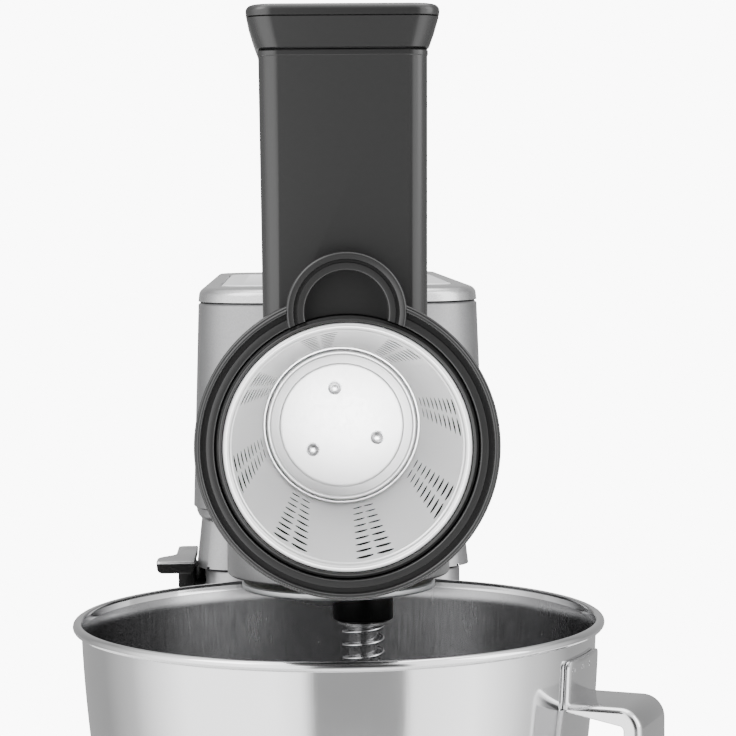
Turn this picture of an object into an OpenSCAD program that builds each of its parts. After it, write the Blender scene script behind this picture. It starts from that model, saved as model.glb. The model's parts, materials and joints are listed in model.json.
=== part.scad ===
// Tilt-head kitchen machine with a steel bowl and a drum shredder on its front hub.
// Millimetres. Origin on the table under the bowl's axis, +Z up, the nose points to -Y.

/* [Bowl] */
// Outer radius of the bowl's rolled rim
bowl_r = 110; // [95:1:132]
// Height of the bowl from the underside of its floor to the top of its rim
bowl_h = 159; // [132:1:190]
// Radius of the bowl's floor
bowl_floor_r = 67; // [66:1:78]
// Thickness of the bowl's sheet steel
bowl_wall = 1.2; // [1:0.1:2]
// Radius of the rolled bead at the rim
rim_bead_r = 2; // [1.5:0.1:2.6]
// Angle that the bowl turns to free its bayonet, in degrees
bowl_twist = 20; // [15:1:24]
// Angle of the handle from +X, in degrees
handle_angle = -25; // [-40:1:0]
// Width of the handle's strap
handle_w = 36; // [28:1:50]
// Reach of the handle beyond the rim
handle_reach = 25.5; // [20:0.5:36]
// Thickness of the handle's strap
handle_t = 2; // [1.5:0.1:3]

/* [Base and column] */
// Height of the rubber feet under the base
foot_h = 6; // [4:0.5:8]
// Height of the base housing
base_h = 32; // [28:1:40]
// Radius of the round front of the base
base_r = 100; // [90:1:120]
// Wall of the base and the column
case_wall = 3.5; // [2.5:0.1:4]
// Width of the column
column_w = 118.8; // [110:0.2:142]
// Length of the column from front to back
column_len = 122; // [116:1:150]
// Gap between the bowl's rim and the column
column_gap = 4; // [3:0.5:10]
// Angle that the head tilts up, in degrees
head_tilt_max = 38; // [25:1:40]
// Radius of the hinge pin
pin_r = 6; // [4:0.5:8]

/* [Head] */
// Distance from the bowl's axis to the head's nose
nose_reach = 68; // [60:1:74]
// Width of the head at its bottom seam
head_w = 116.4; // [112:0.2:140]
// Width of the head at its top seam
head_top_w = 111; // [104:0.2:132]
// Height of the head's side walls between the seams
head_h = 81; // [76:1:100]
// Height of the head's top cover
cover_h = 6; // [4:0.5:9]
// Height of the head's bottom pan
belly_h = 5.5; // [4:0.5:8]
// Gap between the bowl's rim and the pan's underside
head_lift = 45; // [42:1:60]
// Wall of the head's shell
head_wall = 3; // [2:0.1:4]
// Width of the hood where it meets the column
hood_w = 127.2; // [122:0.2:150]
// Depth of the rounded nose, seen from above
nose_bow = 35; // [25:1:45]
// Width of the lid in the top cover
lid_w = 95; // [80:1:100]
// Length of the lid in the top cover
lid_len = 192; // [150:1:200]

/* [Drive] */
// Radius of the motor's stator
stator_r = 32; // [26:0.5:34]
// Length of the motor's stator
stator_len = 54; // [44:1:54]
// Radius of the main pulley
main_pulley_r = 26; // [22:0.5:28]
// Radius of the motor pulley
motor_pulley_r = 8; // [6.5:0.5:9]
// Gear module of the planet set
gear_module = 2; // [1.6:0.1:2.3]
// Teeth of the ring gear
ring_teeth = 36; // [34:2:36]
// Teeth of the planet gear
planet_teeth = 14; // [12:2:14]
// Radius of the tool shaft
tool_r = 6; // [4:0.1:7]
// Length of the tool shaft below the bowl's rim
tool_drop = 55; // [40:1:70]

/* [Drum attachment] */
// Outer radius of the front frame
frame_r = 52.5; // [50:0.5:60]
// Radius of the drum's mouth
drum_r = 42.7; // [36:0.1:43]
// Radius of the drum at its closed end
drum_end_r = 29.5; // [27:0.1:34]
// Depth of the drum
drum_len = 93; // [88:1:112]
// Height of the drum's axis above the head's pan
drum_lift = 41.5; // [38:0.5:46]
// Width of the feed chute
chute_w = 58.5; // [50:0.5:60]
// Length of the feed chute from front to back
chute_len = 64; // [54:1:68]
// Height of the chute's mouth above the drum's axis
chute_h = 136; // [120:1:165]
// Wall of the attachment's mouldings
chute_wall = 2.5; // [2:0.1:3]
// Height of the pusher's cap
cap_h = 15.5; // [12:0.5:20]
// How far the cap flares past the chute on each side
cap_flare = 4.2; // [2:0.1:6]
// Radius of the arch over the front frame
arch_r = 20.5; // [16:0.5:24]

/* [Clearances] */
// Radial running clearance of shafts in their bores
run_fit = 0.05; // [0.02:0.01:0.08]
// Gap between covers that meet, and around parts that slide
part_gap = 0.5; // [0.4:0.1:0.8]
// Gap between the head and the column
tilt_gap = 1; // [0.8:0.1:1.6]

/* [Hidden] */
$fn = 96;

// Heights
base_top = foot_h + base_h;
bowl_seat_rise = 8;
bowl_floor_z = base_top + bowl_seat_rise;
rim_z = bowl_floor_z + bowl_h;
part_z = rim_z + 3;
belly_z = rim_z + head_lift;
seam_z = belly_z + belly_h;
cover_z = seam_z + head_h;
head_top_z = cover_z + cover_h;
axis_z = belly_z + drum_lift;

// Bowl
wall_top_r = bowl_r - 3.5;
rim_r = bowl_r - rim_bead_r;
profile_steps = 26;
foot_tube_r = bowl_floor_r - 2;
foot_tube_t = 4;
lug_len = 4.5;
lug_h = 3.5;
lug_half = 12;

// Bowl seat
seat_floor_z = base_top - 9;
seat_floor_t = 2.5;
seat_lip_t = 2.5;
seat_lip_r = foot_tube_r + 0.8;
seat_channel_r = foot_tube_r + lug_len + 1.5;
seat_r = seat_channel_r + 5;
seat_hub_r = foot_tube_r - foot_tube_t - 3.5;
seat_top_z = base_top + 2;

// Underside and rear cover
cover_plate_t = 3;
screw_r = 2;
screw_len = 14;
cover_half = 42;
cover_t = 2;
cover_z0 = base_top + 22;
cover_z1 = cover_z0 + 96;
gland_r = 8;
gland_z = foot_h + 13;

// Column and hinge
column_front = bowl_r + column_gap;
column_rear = column_front + column_len;
column_round = 16;
barrel_r = 33;
hinge_y = column_rear - barrel_r + 2;
hinge_z = part_z + 14;
head_rear = hinge_y + barrel_r;
trough_r = barrel_r + tilt_gap;
ear_out = column_w / 2 - 5.4;
ear_t = 8;
knuckle_r = 14;
knuckle_half = ear_out - ear_t - 1;
pin_half = ear_out + 2;
barrel_half = column_w / 2 + 2.1;

// Head
head_half = head_w / 2;
head_top_half = head_top_w / 2;
hood_half = hood_w / 2;
hood_front = column_front - 1.5;
rear_round = 18;
nose_power = 2.6;
nose_steps = 14;
corner_steps = 6;
lid_front = -20;
lid_t = 2.4;
lid_round = 10;

// Hub under the head
hub_r = 46;
carrier_r = 40;
carrier_z = rim_z + 4;
carrier_h = 11;
hub_z = carrier_z + carrier_h + 1;
ring_pitch_r = gear_module * ring_teeth / 2;
planet_pitch_r = gear_module * planet_teeth / 2;
ring_outer_r = 41;
planet_offset = ring_pitch_r - planet_pitch_r;
planet_angle = -64.7;
gear_z = hub_z + 5;
gear_h = 12;
boss_r = 12.3;
boss_h = 2.5;
washer_r = 10.2;
washer_t = 1.6;
spring_r = 8;
spring_wire = 0.8;
spring_len = 16;
spring_turns = 4;
tool_groove = 1.6;
free_len = tool_drop - 21;
clip_groove = 1.4;
carrier_shaft_r = planet_offset - planet_pitch_r - 2;

// Motor and main shaft
motor_z = axis_z - 39.5;
pulley_y = column_front + 4;
pulley_w = 8;
motor_y = pulley_y + 14;
rotor_r = 20;
rotor_gap = 0.5;
motor_shaft_r = 4;
main_shaft_r = 5;
main_front = -(nose_reach - 2);
main_rear = pulley_y + pulley_w + 4;
bearing_r = 11;
bearing_w = 7;
front_bearing_y = -(nose_reach - 20);
rear_bearing_y = hood_front - 15;
bevel_far = 24;
bevel_near = 14;
bevel_slope = 0.5;
bevel_gap = 0.4;
pinion_teeth = 12;
wheel_teeth = 24;
belt_t = 2;
belt_gap = 0.3;
chassis_half = head_top_half - head_wall - 3;
chassis_z = seam_z;
chassis_t = 4;
side_plate_out = 44;
side_plate_t = 6;

// Front hub and drum attachment
hub_bore_r = 17;
hub_ring_r = 21;
hub_ring_out = 8;
socket_r = 9;
hex_socket_r = 5.8;
hex_tail_r = 5.3;
sleeve_t = 4;
sleeve_len = 9.5;
house_rear = -(nose_reach + 1.5 + sleeve_len);
house_back_t = 3.5;
drum_back = house_rear - house_back_t - 3;
drum_end_y = drum_back - 1;
mouth_y = drum_end_y - drum_len;
frame_t = 13;
drum_wall = 0.8;
drum_clear = 2.5;
collar_in = drum_r;
collar_out = collar_in + 2.3;
frame_in = collar_out + part_gap;
house_t = 3;
chute_front = mouth_y + frame_t;
chute_back = chute_front + chute_len;
chute_round = 7;
chute_top_z = axis_z + chute_h;
arch_rise = 46.3;
pusher_z = axis_z + drum_r + 5;
slit_groups = 8;
slit_rows = 7;
rivet_circle = 14.3;
rivet_r = 2.6;

// Release lever
lever_in = hood_half + 0.9;
lever_w = 17.5;
lever_front = column_front + 4;
lever_len = 54;
lever_z = part_z - 2.5;
lever_h = 5;
pad_h = 1.2;
lever_y = column_front + 40;
lever_pivot_z = part_z - 12;
lever_shaft_r = 4;

// Speed knob
knob_y = column_front + 62;
knob_z = 112;
knob_r = 23;
knob_len = 15;
knob_shaft_r = 3;

// Feet and the screws beside them
foot_points = [[-70, -46], [70, -46], [-50, column_rear - 16], [50, column_rear - 16]];
screw_points = [[-57, -32], [57, -32], [3 - column_w / 2, column_rear - 40], [column_w / 2 - 3, column_rear - 40]];

// ---- Helpers ----

// A circle's arc as points, without its last point
function arc(c, r, a0, a1, n) =
    [for (i = [0 : n]) let (a = a0 + (a1 - a0) * i / n) c + r * [cos(a), sin(a)]];

// A rounded rectangle from two corners
function round_rect(p0, p1, r) = concat(
    arc([p1.x - r, p0.y + r], r, -90, 0, corner_steps),
    arc([p1.x - r, p1.y - r], r, 0, 90, corner_steps),
    arc([p0.x + r, p1.y - r], r, 90, 180, corner_steps),
    arc([p0.x + r, p0.y + r], r, 180, 270, corner_steps)
);

// A number's power that keeps its sign
function signed_pow(v, p) = sign(v) * pow(abs(v), p);

// The head seen from above, about its own middle: a superellipse nose and a rounded rear
function head_plan(half, y0, y1, bow, r) = concat(
    [for (i = [0 : 2 * nose_steps]) let (a = 180 + 90 * i / nose_steps)
        [half * signed_pow(cos(a), 2 / nose_power), y0 + bow + bow * signed_pow(sin(a), 2 / nose_power)]],
    arc([half - r, y1 - r], r, 0, 90, corner_steps),
    arc([-half + r, y1 - r], r, 90, 180, corner_steps)
);

// Outer radius of the bowl at a height above its floor
function bowl_wall_r(h) =
    bowl_floor_r + (wall_top_r - bowl_floor_r) * pow(1 - pow(1 - h / bowl_h, 1.6), 0.52);

// Height of a step of the bowl's profile, closer together near the floor
function bowl_step(i) = (bowl_h - rim_bead_r) * pow(i / profile_steps, 1.6);

// A solid round bar along X, Y or Z from its start
module bar_x(r, x0, x1) translate([x0, 0, 0]) rotate([0, 90, 0]) cylinder(r = r, h = x1 - x0);
module bar_y(r, y0, y1) translate([0, y0, 0]) rotate([-90, 0, 0]) cylinder(r = r, h = y1 - y0);

// A tube along Y
module tube_y(r0, r1, y0, y1) difference() {
    bar_y(r1, y0, y1);
    bar_y(r0, y0 - 1, y1 + 1);
}

// Turns a profile of [radius, y] about the Y axis
module spin_y(points) rotate([90, 0, 0]) rotate_extrude() polygon(points);

module at_hinge() translate([0, hinge_y, hinge_z]) children();
module at_axis() translate([0, 0, axis_z]) children();
module at_motor() translate([0, 0, motor_z]) children();
module at_planet() rotate([0, 0, planet_angle]) translate([planet_offset, 0, 0]) children();

// Part of a flat ring, centred on +X
module ring_sector(r0, r1, h, half) intersection() {
    difference() {
        cylinder(r = r1, h = h, $fn = 128);
        translate([0, 0, -1]) cylinder(r = r0, h = h + 2, $fn = 128);
    }
    translate([0, 0, -1]) linear_extrude(h + 2)
        polygon([[0, 0], [1.2 * r1, -1.2 * r1 * tan(half)], [1.2 * r1, 1.2 * r1 * tan(half)]]);
}

// A box from two corners
module block(p0, p1) translate(p0) cube(p1 - p0);

// The plan of the base: a round front and a square rear, drawn in by a wall
module base_plan(inset) {
    circle(r = base_r - inset, $fn = 128);
    polygon(round_rect([-column_w / 2 - 6 + inset, 0], [column_w / 2 + 6 - inset, column_rear + 4 - inset], 14));
}

// ---- Base ----

module column_body(inset, top) {
    half = column_w / 2 - inset;
    linear_extrude(top)
        polygon(round_rect([-half, column_front + inset], [half, column_rear - inset], column_round - inset));
}

module hinge_ear() {
    at_hinge() bar_x(knuckle_r, 0, ear_t);
    translate([ear_t, 0, 0]) rotate([0, -90, 0]) linear_extrude(ear_t) polygon([
        [hinge_z + 9, hinge_y - 10], [hinge_z - 9, hinge_y - 9],
        [hinge_z - 30, hinge_y - trough_r], [part_z - 20, hinge_y - trough_r - 4], [part_z - 2, hinge_y - trough_r - 4]
    ]);
}

module base_housing() color("silver") difference() {
    union() {
        difference() {
            union() {
                translate([0, 0, foot_h]) linear_extrude(base_h - 6) base_plan(0);
                translate([0, 0, base_top - 6]) linear_extrude(3) base_plan(1);
                translate([0, 0, base_top - 3]) linear_extrude(3) base_plan(3);
            }
            translate([0, 0, foot_h - 1]) linear_extrude(seat_floor_z - case_wall - foot_h + 1) base_plan(case_wall);
            difference() {
                translate([0, 0, foot_h]) linear_extrude(base_h - case_wall) base_plan(case_wall);
                cylinder(r = seat_r + case_wall, h = base_top, $fn = 128);
            }
            translate([0, 0, base_top - case_wall - 1]) column_body(case_wall + 4, case_wall + 2);
        }
        for (p = screw_points) translate([p.x, p.y, foot_h + cover_plate_t])
            cylinder(r = 5, h = base_h - cover_plate_t - 1);
    }
    for (p = screw_points) translate([p.x, p.y, 0]) cylinder(r = screw_r, h = foot_h + screw_len);
    translate([0, 0, seat_floor_z]) cylinder(r = seat_r + part_gap / 2, h = 30, $fn = 128);
    translate([0, 0, gland_z]) bar_y(gland_r, column_rear - 6, column_rear + 10);
}

module column_housing() color("silver") difference() {
    union() {
        difference() {
            translate([0, 0, base_top]) column_body(0, part_z - tilt_gap - base_top);
            translate([0, 0, base_top - 1]) column_body(case_wall, hinge_z - trough_r - case_wall - base_top - 8);
            translate([0, 0, base_top - 1])
                linear_extrude(part_z - tilt_gap - case_wall - base_top + 1) polygon(round_rect(
                    [-column_w / 2 + case_wall, column_front + case_wall],
                    [column_w / 2 - case_wall, hinge_y - trough_r - 6], 6));
            at_hinge() bar_x(trough_r, -column_w, column_w);
        }
        for (s = [-1, 1]) translate([s > 0 ? ear_out - ear_t : -ear_out, 0, 0]) hinge_ear();
    }
    at_hinge() bar_x(pin_r, -column_w, column_w);
    translate([0, column_rear, 0]) block([-cover_half - part_gap, -cover_t, cover_z0 - part_gap],
        [cover_half + part_gap, 6, cover_z1 + part_gap]);
    translate([0, column_rear, 0]) block([-cover_half + 4, -case_wall - 4, cover_z0 + 4],
        [cover_half - 4, 6, cover_z1 - 4]);
    translate([0, lever_y, lever_pivot_z]) bar_x(lever_shaft_r + run_fit, -column_w, 0);
    translate([0, knob_y, knob_z]) bar_x(knob_shaft_r + run_fit, 0, column_w);
}

module base_cover() color("dimgray") difference() {
    translate([0, 0, foot_h]) linear_extrude(cover_plate_t) base_plan(case_wall + part_gap);
    for (p = screw_points) translate([p.x, p.y, 0]) cylinder(r = screw_r + 0.2, h = 20);
}

module rubber_feet() color("black") {
    for (p = foot_points) translate(p) {
        cylinder(r = 13, h = 3);
        cylinder(r = 10, h = foot_h);
    }
    cylinder(r = 18, h = foot_h);
}

module base_screws() color("gray")
    for (p = screw_points) translate([p.x, p.y, 0]) {
        translate([0, 0, foot_h - 2]) cylinder(r = 4, h = 2);
        translate([0, 0, foot_h - 1]) cylinder(r = screw_r, h = screw_len);
    }

module bowl_seat() color("black") difference() {
    rotate_extrude($fn = 128) polygon([
        [seat_hub_r, seat_floor_z], [seat_r, seat_floor_z], [seat_r, seat_top_z], [seat_lip_r, seat_top_z],
        [seat_lip_r, seat_top_z - seat_lip_t], [seat_channel_r, seat_top_z - seat_lip_t],
        [seat_channel_r, seat_floor_z + seat_floor_t], [seat_hub_r + 3, seat_floor_z + seat_floor_t],
        [seat_hub_r + 3, seat_top_z - 4], [seat_hub_r, seat_top_z - 4]
    ]);
    for (a = [0 : 120 : 240]) rotate([0, 0, a + handle_angle + bowl_twist])
        translate([0, 0, seat_top_z - seat_lip_t - 1])
            ring_sector(seat_lip_r - 3, seat_channel_r - 0.2, seat_lip_t + 2, lug_half + 2);
}

module column_cover() color("silver")
    translate([0, column_rear, 0]) {
        block([-cover_half, -cover_t, cover_z0], [cover_half, 0.5, cover_z1]);
        for (i = [0 : 6])
            block([-cover_half + 8, 0.4, cover_z0 + 10 + i * 8], [cover_half - 8, 1.6, cover_z0 + 13 + i * 8]);
    }

module cord_gland() color("black") translate([0, 0, gland_z]) difference() {
    union() {
        bar_y(gland_r, column_rear - 4, column_rear + 5);
        bar_y(gland_r + 2, column_rear + 4, column_rear + 7);
        bar_y(6.5, column_rear + 6, column_rear + 22);
    }
    bar_y(3.5, column_rear - 10, column_rear + 30);
}

module control_board() color("seagreen") {
    block([column_w / 2 - 16, knob_y - 26, knob_z - 34], [column_w / 2 - 14.4, knob_y + 26, knob_z + 34]);
    translate([0, knob_y, knob_z]) difference() {
        bar_x(9, column_w / 2 - 14.4, column_w / 2 - case_wall - 0.2);
        bar_x(knob_shaft_r + 0.4, column_w / 2 - 14, column_w / 2);
    }
}

module knob_trim() color("gainsboro") translate([0, knob_y, knob_z]) difference() {
    bar_x(knob_r + 4, column_w / 2, column_w / 2 + 2);
    bar_x(knob_r + part_gap, column_w / 2 - 1, column_w / 2 + 3);
}

module hinge_pin() color("lightgray") at_hinge() bar_x(pin_r, -pin_half, pin_half);

// ---- Bowl ----

module bowl() color("gainsboro") rotate_extrude($fn = 180) {
    translate([0, bowl_floor_z]) difference() {
        polygon(concat([[0, 0]], [for (i = [0 : profile_steps]) [bowl_wall_r(bowl_step(i)), bowl_step(i)]],
            [[0, bowl_h - rim_bead_r]]));
        polygon(concat([[0, bowl_wall]], [for (i = [0 : profile_steps])
            [bowl_wall_r(bowl_step(i)) - bowl_wall, bowl_step(i) + bowl_wall * pow(1 - i / profile_steps, 2)]],
            [[0, bowl_h]]));
    }
    translate([rim_r, rim_z - rim_bead_r]) circle(r = rim_bead_r, $fn = 32);
}

module bowl_foot() color("silver") rotate([0, 0, handle_angle]) {
    translate([0, 0, bowl_floor_z - 13]) difference() {
        cylinder(r = foot_tube_r, h = 13, $fn = 128);
        translate([0, 0, -1]) cylinder(r = foot_tube_r - foot_tube_t, h = 15, $fn = 128);
    }
    for (a = [0 : 120 : 240]) rotate([0, 0, a]) translate([0, 0, bowl_floor_z - 12.5])
        ring_sector(foot_tube_r - 1, foot_tube_r + lug_len, lug_h, lug_half);
}

// Heights of the handle on the bowl
handle_top = rim_z - 27;
handle_low = rim_z - 118;
handle_tab = 14;
handle_out = bowl_r + handle_reach;
handle_round = 10;
flange_w = 9;

// The strap's side view: an outer line drawn in by a distance
function strap_side(d) = concat(
    [[bowl_wall_r(handle_top - bowl_floor_z) - 6, handle_top - d]],
    arc([handle_out - handle_round, handle_top - handle_round], handle_round - d, 90, 0, 6),
    arc([handle_out - handle_round, handle_low + handle_round], handle_round - d, 0, -90, 6),
    [[bowl_wall_r(handle_low - bowl_floor_z) - 6, handle_low + d]]
);

module strap_plate(w, d0, d1) rotate([90, 0, 0]) translate([0, 0, -w / 2]) linear_extrude(w) difference() {
    polygon(strap_side(d0));
    polygon(concat(strap_side(d1), [[0, handle_low + d1], [0, handle_top - d1]]));
}

// The bowl's outside as a solid, up to its rim
module bowl_outside() rotate_extrude($fn = 180) translate([0, bowl_floor_z]) polygon(concat([[0, 0]],
    [for (i = [0 : profile_steps]) let (h = bowl_step(i)) [bowl_wall_r(h), h]], [[0, bowl_h - rim_bead_r]]));

module bowl_handle() color("silver") rotate([0, 0, handle_angle]) difference() {
    tab_angle = handle_w / wall_top_r * 180 / PI;
    union() {
        strap_plate(handle_w, 0, handle_t);
        for (s = [-1, 1]) translate([0, s * (handle_w - handle_t) / 2, 0]) strap_plate(handle_t, 0, flange_w);
        for (z = [handle_top - handle_t, handle_low - handle_tab + handle_t]) rotate([0, 0, -tab_angle / 2])
            rotate_extrude(angle = tab_angle, $fn = 180) polygon([
                for (p = [[-3, 0], [handle_t, 0], [handle_t, 1], [-3, 1]])
                    [bowl_wall_r(z + p.y * handle_tab - bowl_floor_z) + p.x, z + p.y * handle_tab]
            ]);
    }
    bowl_outside();
}

// ---- Head ----

// A drafted solid of the head's plan, drawn in by a wall, with its widths at the bottom and the top
module head_prism(half0, half1, y0, y1, z0, z1, inset, bow) {
    mid = (y0 + y1) / 2;
    depth = (y1 - y0) / 2 - inset;
    draft = half0 - half1;
    translate([0, mid, z0])
        linear_extrude(z1 - z0, scale = [(half1 - inset) / (half0 - inset), (depth - draft) / depth], slices = 1, $fn = 0)
            polygon(head_plan(half0 - inset, -depth, depth, bow, rear_round - inset));
}

module hood_prism(inset, z0, z1) {
    mid = (hood_front + head_rear) / 2;
    depth = (head_rear - hood_front) / 2 - inset;
    translate([0, mid, z0])
        linear_extrude(z1 - z0, scale = [(head_half - inset) / (hood_half - inset), 1], slices = 1, $fn = 0)
            polygon(round_rect([-hood_half + inset, -depth], [hood_half - inset, depth], rear_round - inset));
}

// The corner behind and under the hinge that the round barrel replaces
module rear_corner(r) difference() {
    block([-hood_w, hinge_y, part_z - barrel_r], [hood_w, head_rear + 20, hinge_z]);
    at_hinge() bar_x(r, -2 * hood_w, 2 * hood_w);
}

module head_shell() color("silver") difference() {
    union() {
        head_prism(head_half, head_top_half, -nose_reach, head_rear, seam_z, cover_z, 0, nose_bow);
        hood_prism(0, part_z, seam_z + 1);
        at_hinge() bar_x(barrel_r, -barrel_half, barrel_half);
    }
    head_prism(head_half, head_top_half, -nose_reach, head_rear, seam_z - 2, cover_z + 1, head_wall, nose_bow);
    hood_prism(head_wall, part_z - 1, seam_z + 2);
    at_hinge() bar_x(barrel_r - head_wall, -barrel_half + head_wall, barrel_half - head_wall);
    rear_corner(barrel_r);
    block([-barrel_half + head_wall, hood_front - 5 + head_wall * 3, part_z - 2 * barrel_r],
        [barrel_half - head_wall, hinge_y - 3, part_z + 1]);
    at_axis() bar_y(hub_ring_r + 0.2, -nose_reach - 10, 0);
}

module head_top_cover() color("whitesmoke") difference() {
    head_prism(head_top_half, head_top_half - 0.8, -nose_reach + 2.7, head_rear - 2.7, cover_z, head_top_z, 0, nose_bow);
    translate([0, 0, cover_z - 1]) head_prism(head_top_half, head_top_half, -nose_reach + 2.7, head_rear - 2.7,
        0, cover_h - 2 - lid_t + 1, head_wall, nose_bow);
    lid_pocket();
}

module lid_pocket() {
    translate([0, 0, head_top_z - lid_t]) linear_extrude(10) lid_plan(0);
    translate([0, lid_front + lid_len / 2, cover_z - 5]) cylinder(r = 20 + part_gap, h = 20);
}

module lid_plan(inset) polygon(round_rect([-lid_w / 2 + inset, lid_front + inset],
    [lid_w / 2 - inset, lid_front + lid_len - inset], lid_round - inset));

module port_lid() color("gainsboro") {
    translate([0, 0, head_top_z - lid_t]) linear_extrude(lid_t + 0.4) lid_plan(part_gap);
    translate([0, lid_front + lid_len / 2, cover_z - 2]) cylinder(r = 20, h = head_top_z - cover_z);
}

module head_belly() color("silver") difference() {
    union() {
        intersection() {
            head_prism(head_half - 1, head_half - 1, -nose_reach + 1, head_rear, belly_z, seam_z, 0, nose_bow - 1);
            block([-head_w, -2 * nose_reach, 0], [head_w, hood_front, 2 * seam_z]);
        }
        translate([0, 0, hub_z]) cylinder(r = hub_r, h = belly_z - hub_z + 1);
    }
    translate([0, 0, hub_z - 1]) cylinder(r = ring_outer_r, h = gear_z + gear_h - hub_z + 3);
    translate([0, 0, hub_z]) cylinder(r = bearing_r, h = gear_z + gear_h + 2 + bearing_w - hub_z);
    translate([0, 0, hub_z]) cylinder(r = carrier_shaft_r + 2, h = 60);
    intersection() {
        head_prism(head_half - 1, head_half - 1, -nose_reach + 1, head_rear, belly_z + 2.5, seam_z + 1,
            head_wall, nose_bow - 1);
        block([-head_w, hub_r, 0], [head_w, hood_front - 4, 2 * seam_z]);
    }
}

module gear_chassis() color("lightslategray") difference() {
    union() {
        block([-chassis_half + 4, -nose_reach + 24, chassis_z], [chassis_half - 4, hood_front - 2, chassis_z + chassis_t]);
        for (y = [front_bearing_y - 2, rear_bearing_y - 2])
            block([-24, y, chassis_z + 1], [24, y + bearing_w + 4, axis_z + 16]);
        for (s = [-1, 1]) translate([s > 0 ? side_plate_out - side_plate_t : -side_plate_out, 0, 0])
            translate([side_plate_t, 0, 0]) rotate([0, -90, 0]) linear_extrude(side_plate_t) polygon([
                [chassis_z, hood_front - 20], [chassis_z + 30, hood_front - 20], [chassis_z + 30, hinge_y - 30],
                [hinge_z + 10, hinge_y + 8], [hinge_z - 10, hinge_y + 8], [hinge_z - 12, hinge_y - 6],
                [chassis_z - 20, hood_front + 8], [chassis_z + 1.5, hood_front + 4.5]
            ]);
        at_hinge() bar_x(knuckle_r, -knuckle_half, knuckle_half);
    }
    at_hinge() bar_x(pin_r + run_fit, -column_w, column_w);
    at_axis() bar_y(bearing_r, front_bearing_y, rear_bearing_y + 30);
    at_axis() bar_y(main_shaft_r + 3, front_bearing_y - 10, rear_bearing_y + 30);
    translate([0, 0, chassis_z - 1]) cylinder(r = carrier_shaft_r + 2, h = 40);
    translate([0, 0, chassis_z - 1]) cylinder(r = bevel_far + 2, h = 60);
}

module hub_ring() color("lightgray") at_axis() tube_y(hub_bore_r, hub_ring_r, -nose_reach - hub_ring_out, -nose_reach + 18);

module motor_stator() color("slategray") at_motor() {
    difference() {
        union() {
            bar_y(stator_r, motor_y, motor_y + stator_len);
            block([-side_plate_out + side_plate_t, motor_y + 10, -8], [side_plate_out - side_plate_t, motor_y + stator_len - 10, 8]);
        }
        bar_y(rotor_r + rotor_gap, motor_y - 1, motor_y + stator_len + 1);
    }
}

// Trapezoid teeth about a pitch circle: outward for a wheel, inward for a ring
module teeth(count, pitch, out, phase) {
    step = 360 / count;
    for (i = [0 : count - 1]) rotate([0, 0, phase + i * step]) polygon([
        [pitch - out * 2.1, -1.5], [pitch + out * 1.5, -0.55], [pitch + out * 1.5, 0.55], [pitch - out * 2.1, 1.5]
    ]);
}

module ring_gear() color("goldenrod") translate([0, 0, gear_z]) linear_extrude(gear_h) difference() {
    circle(r = ring_outer_r, $fn = 128);
    difference() {
        circle(r = ring_pitch_r + 1.8, $fn = 128);
        teeth(ring_teeth, ring_pitch_r, -1, planet_angle + 180 / ring_teeth);
    }
}

module planet_gear() color("goldenrod") rotate([0, 0, planet_angle]) translate([planet_offset, 0, gear_z])
    linear_extrude(gear_h) difference() {
        union() {
            circle(r = planet_pitch_r - 1.8);
            teeth(planet_teeth, planet_pitch_r, 1, 0);
        }
        circle(r = tool_r);
    }

module shaft_bearings() color("silver") {
    at_axis() for (y = [front_bearing_y, rear_bearing_y])
        tube_y(main_shaft_r + run_fit, bearing_r, y, y + bearing_w);
    translate([0, 0, gear_z + gear_h + 2]) difference() {
        cylinder(r = bearing_r, h = bearing_w);
        translate([0, 0, -1]) cylinder(r = carrier_shaft_r + run_fit, h = bearing_w + 2);
    }
}

module drive_belt() color("black") translate([0, pulley_y + pulley_w - 1.5, 0]) rotate([90, 0, 0])
    linear_extrude(pulley_w - 3) difference() {
        belt_loop(belt_gap + belt_t);
        belt_loop(belt_gap);
    }

module belt_loop(grow) hull() {
    translate([0, axis_z]) circle(r = main_pulley_r + grow, $fn = 64);
    translate([0, motor_z]) circle(r = motor_pulley_r + grow, $fn = 64);
}

// ---- Motor rotor ----

module motor_rotor() color("darkorange") at_motor() tube_y(motor_shaft_r, rotor_r, motor_y + 3, motor_y + stator_len - 3);
module motor_shaft() color("lightgray") at_motor() bar_y(motor_shaft_r, pulley_y - 1, motor_y + stator_len + 4);

module flanged_pulley(r, bore) difference() {
    union() {
        bar_y(r, pulley_y, pulley_y + pulley_w);
        bar_y(r + 1.6, pulley_y, pulley_y + 1.1);
        bar_y(r + 1.6, pulley_y + pulley_w - 1.1, pulley_y + pulley_w);
    }
    bar_y(bore, pulley_y - 1, pulley_y + pulley_w + 1);
}

module motor_pulley() color("dimgray") at_motor() flanged_pulley(motor_pulley_r, motor_shaft_r);

module motor_fan() color("dimgray") at_motor() {
    tube_y(motor_shaft_r, 9, motor_y + stator_len + 0.6, motor_y + stator_len + 3.4);
    for (i = [0 : 8]) rotate([0, i * 40, 0])
        block([7, motor_y + stator_len + 0.6, -1], [stator_r - 4, motor_y + stator_len + 3.4, 1]);
}

// ---- Main shaft ----

module main_shaft() color("lightgray") at_axis() difference() {
    union() {
        bar_y(main_shaft_r, main_front + 1, main_rear);
        bar_y(socket_r, main_front, front_bearing_y - 3);
    }
    translate([0, main_front + 12, 0]) rotate([90, 0, 0]) cylinder(r = hex_socket_r, h = 14, $fn = 6);
}

module main_pulley() color("dimgray") at_axis() flanged_pulley(main_pulley_r, main_shaft_r);

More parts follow.
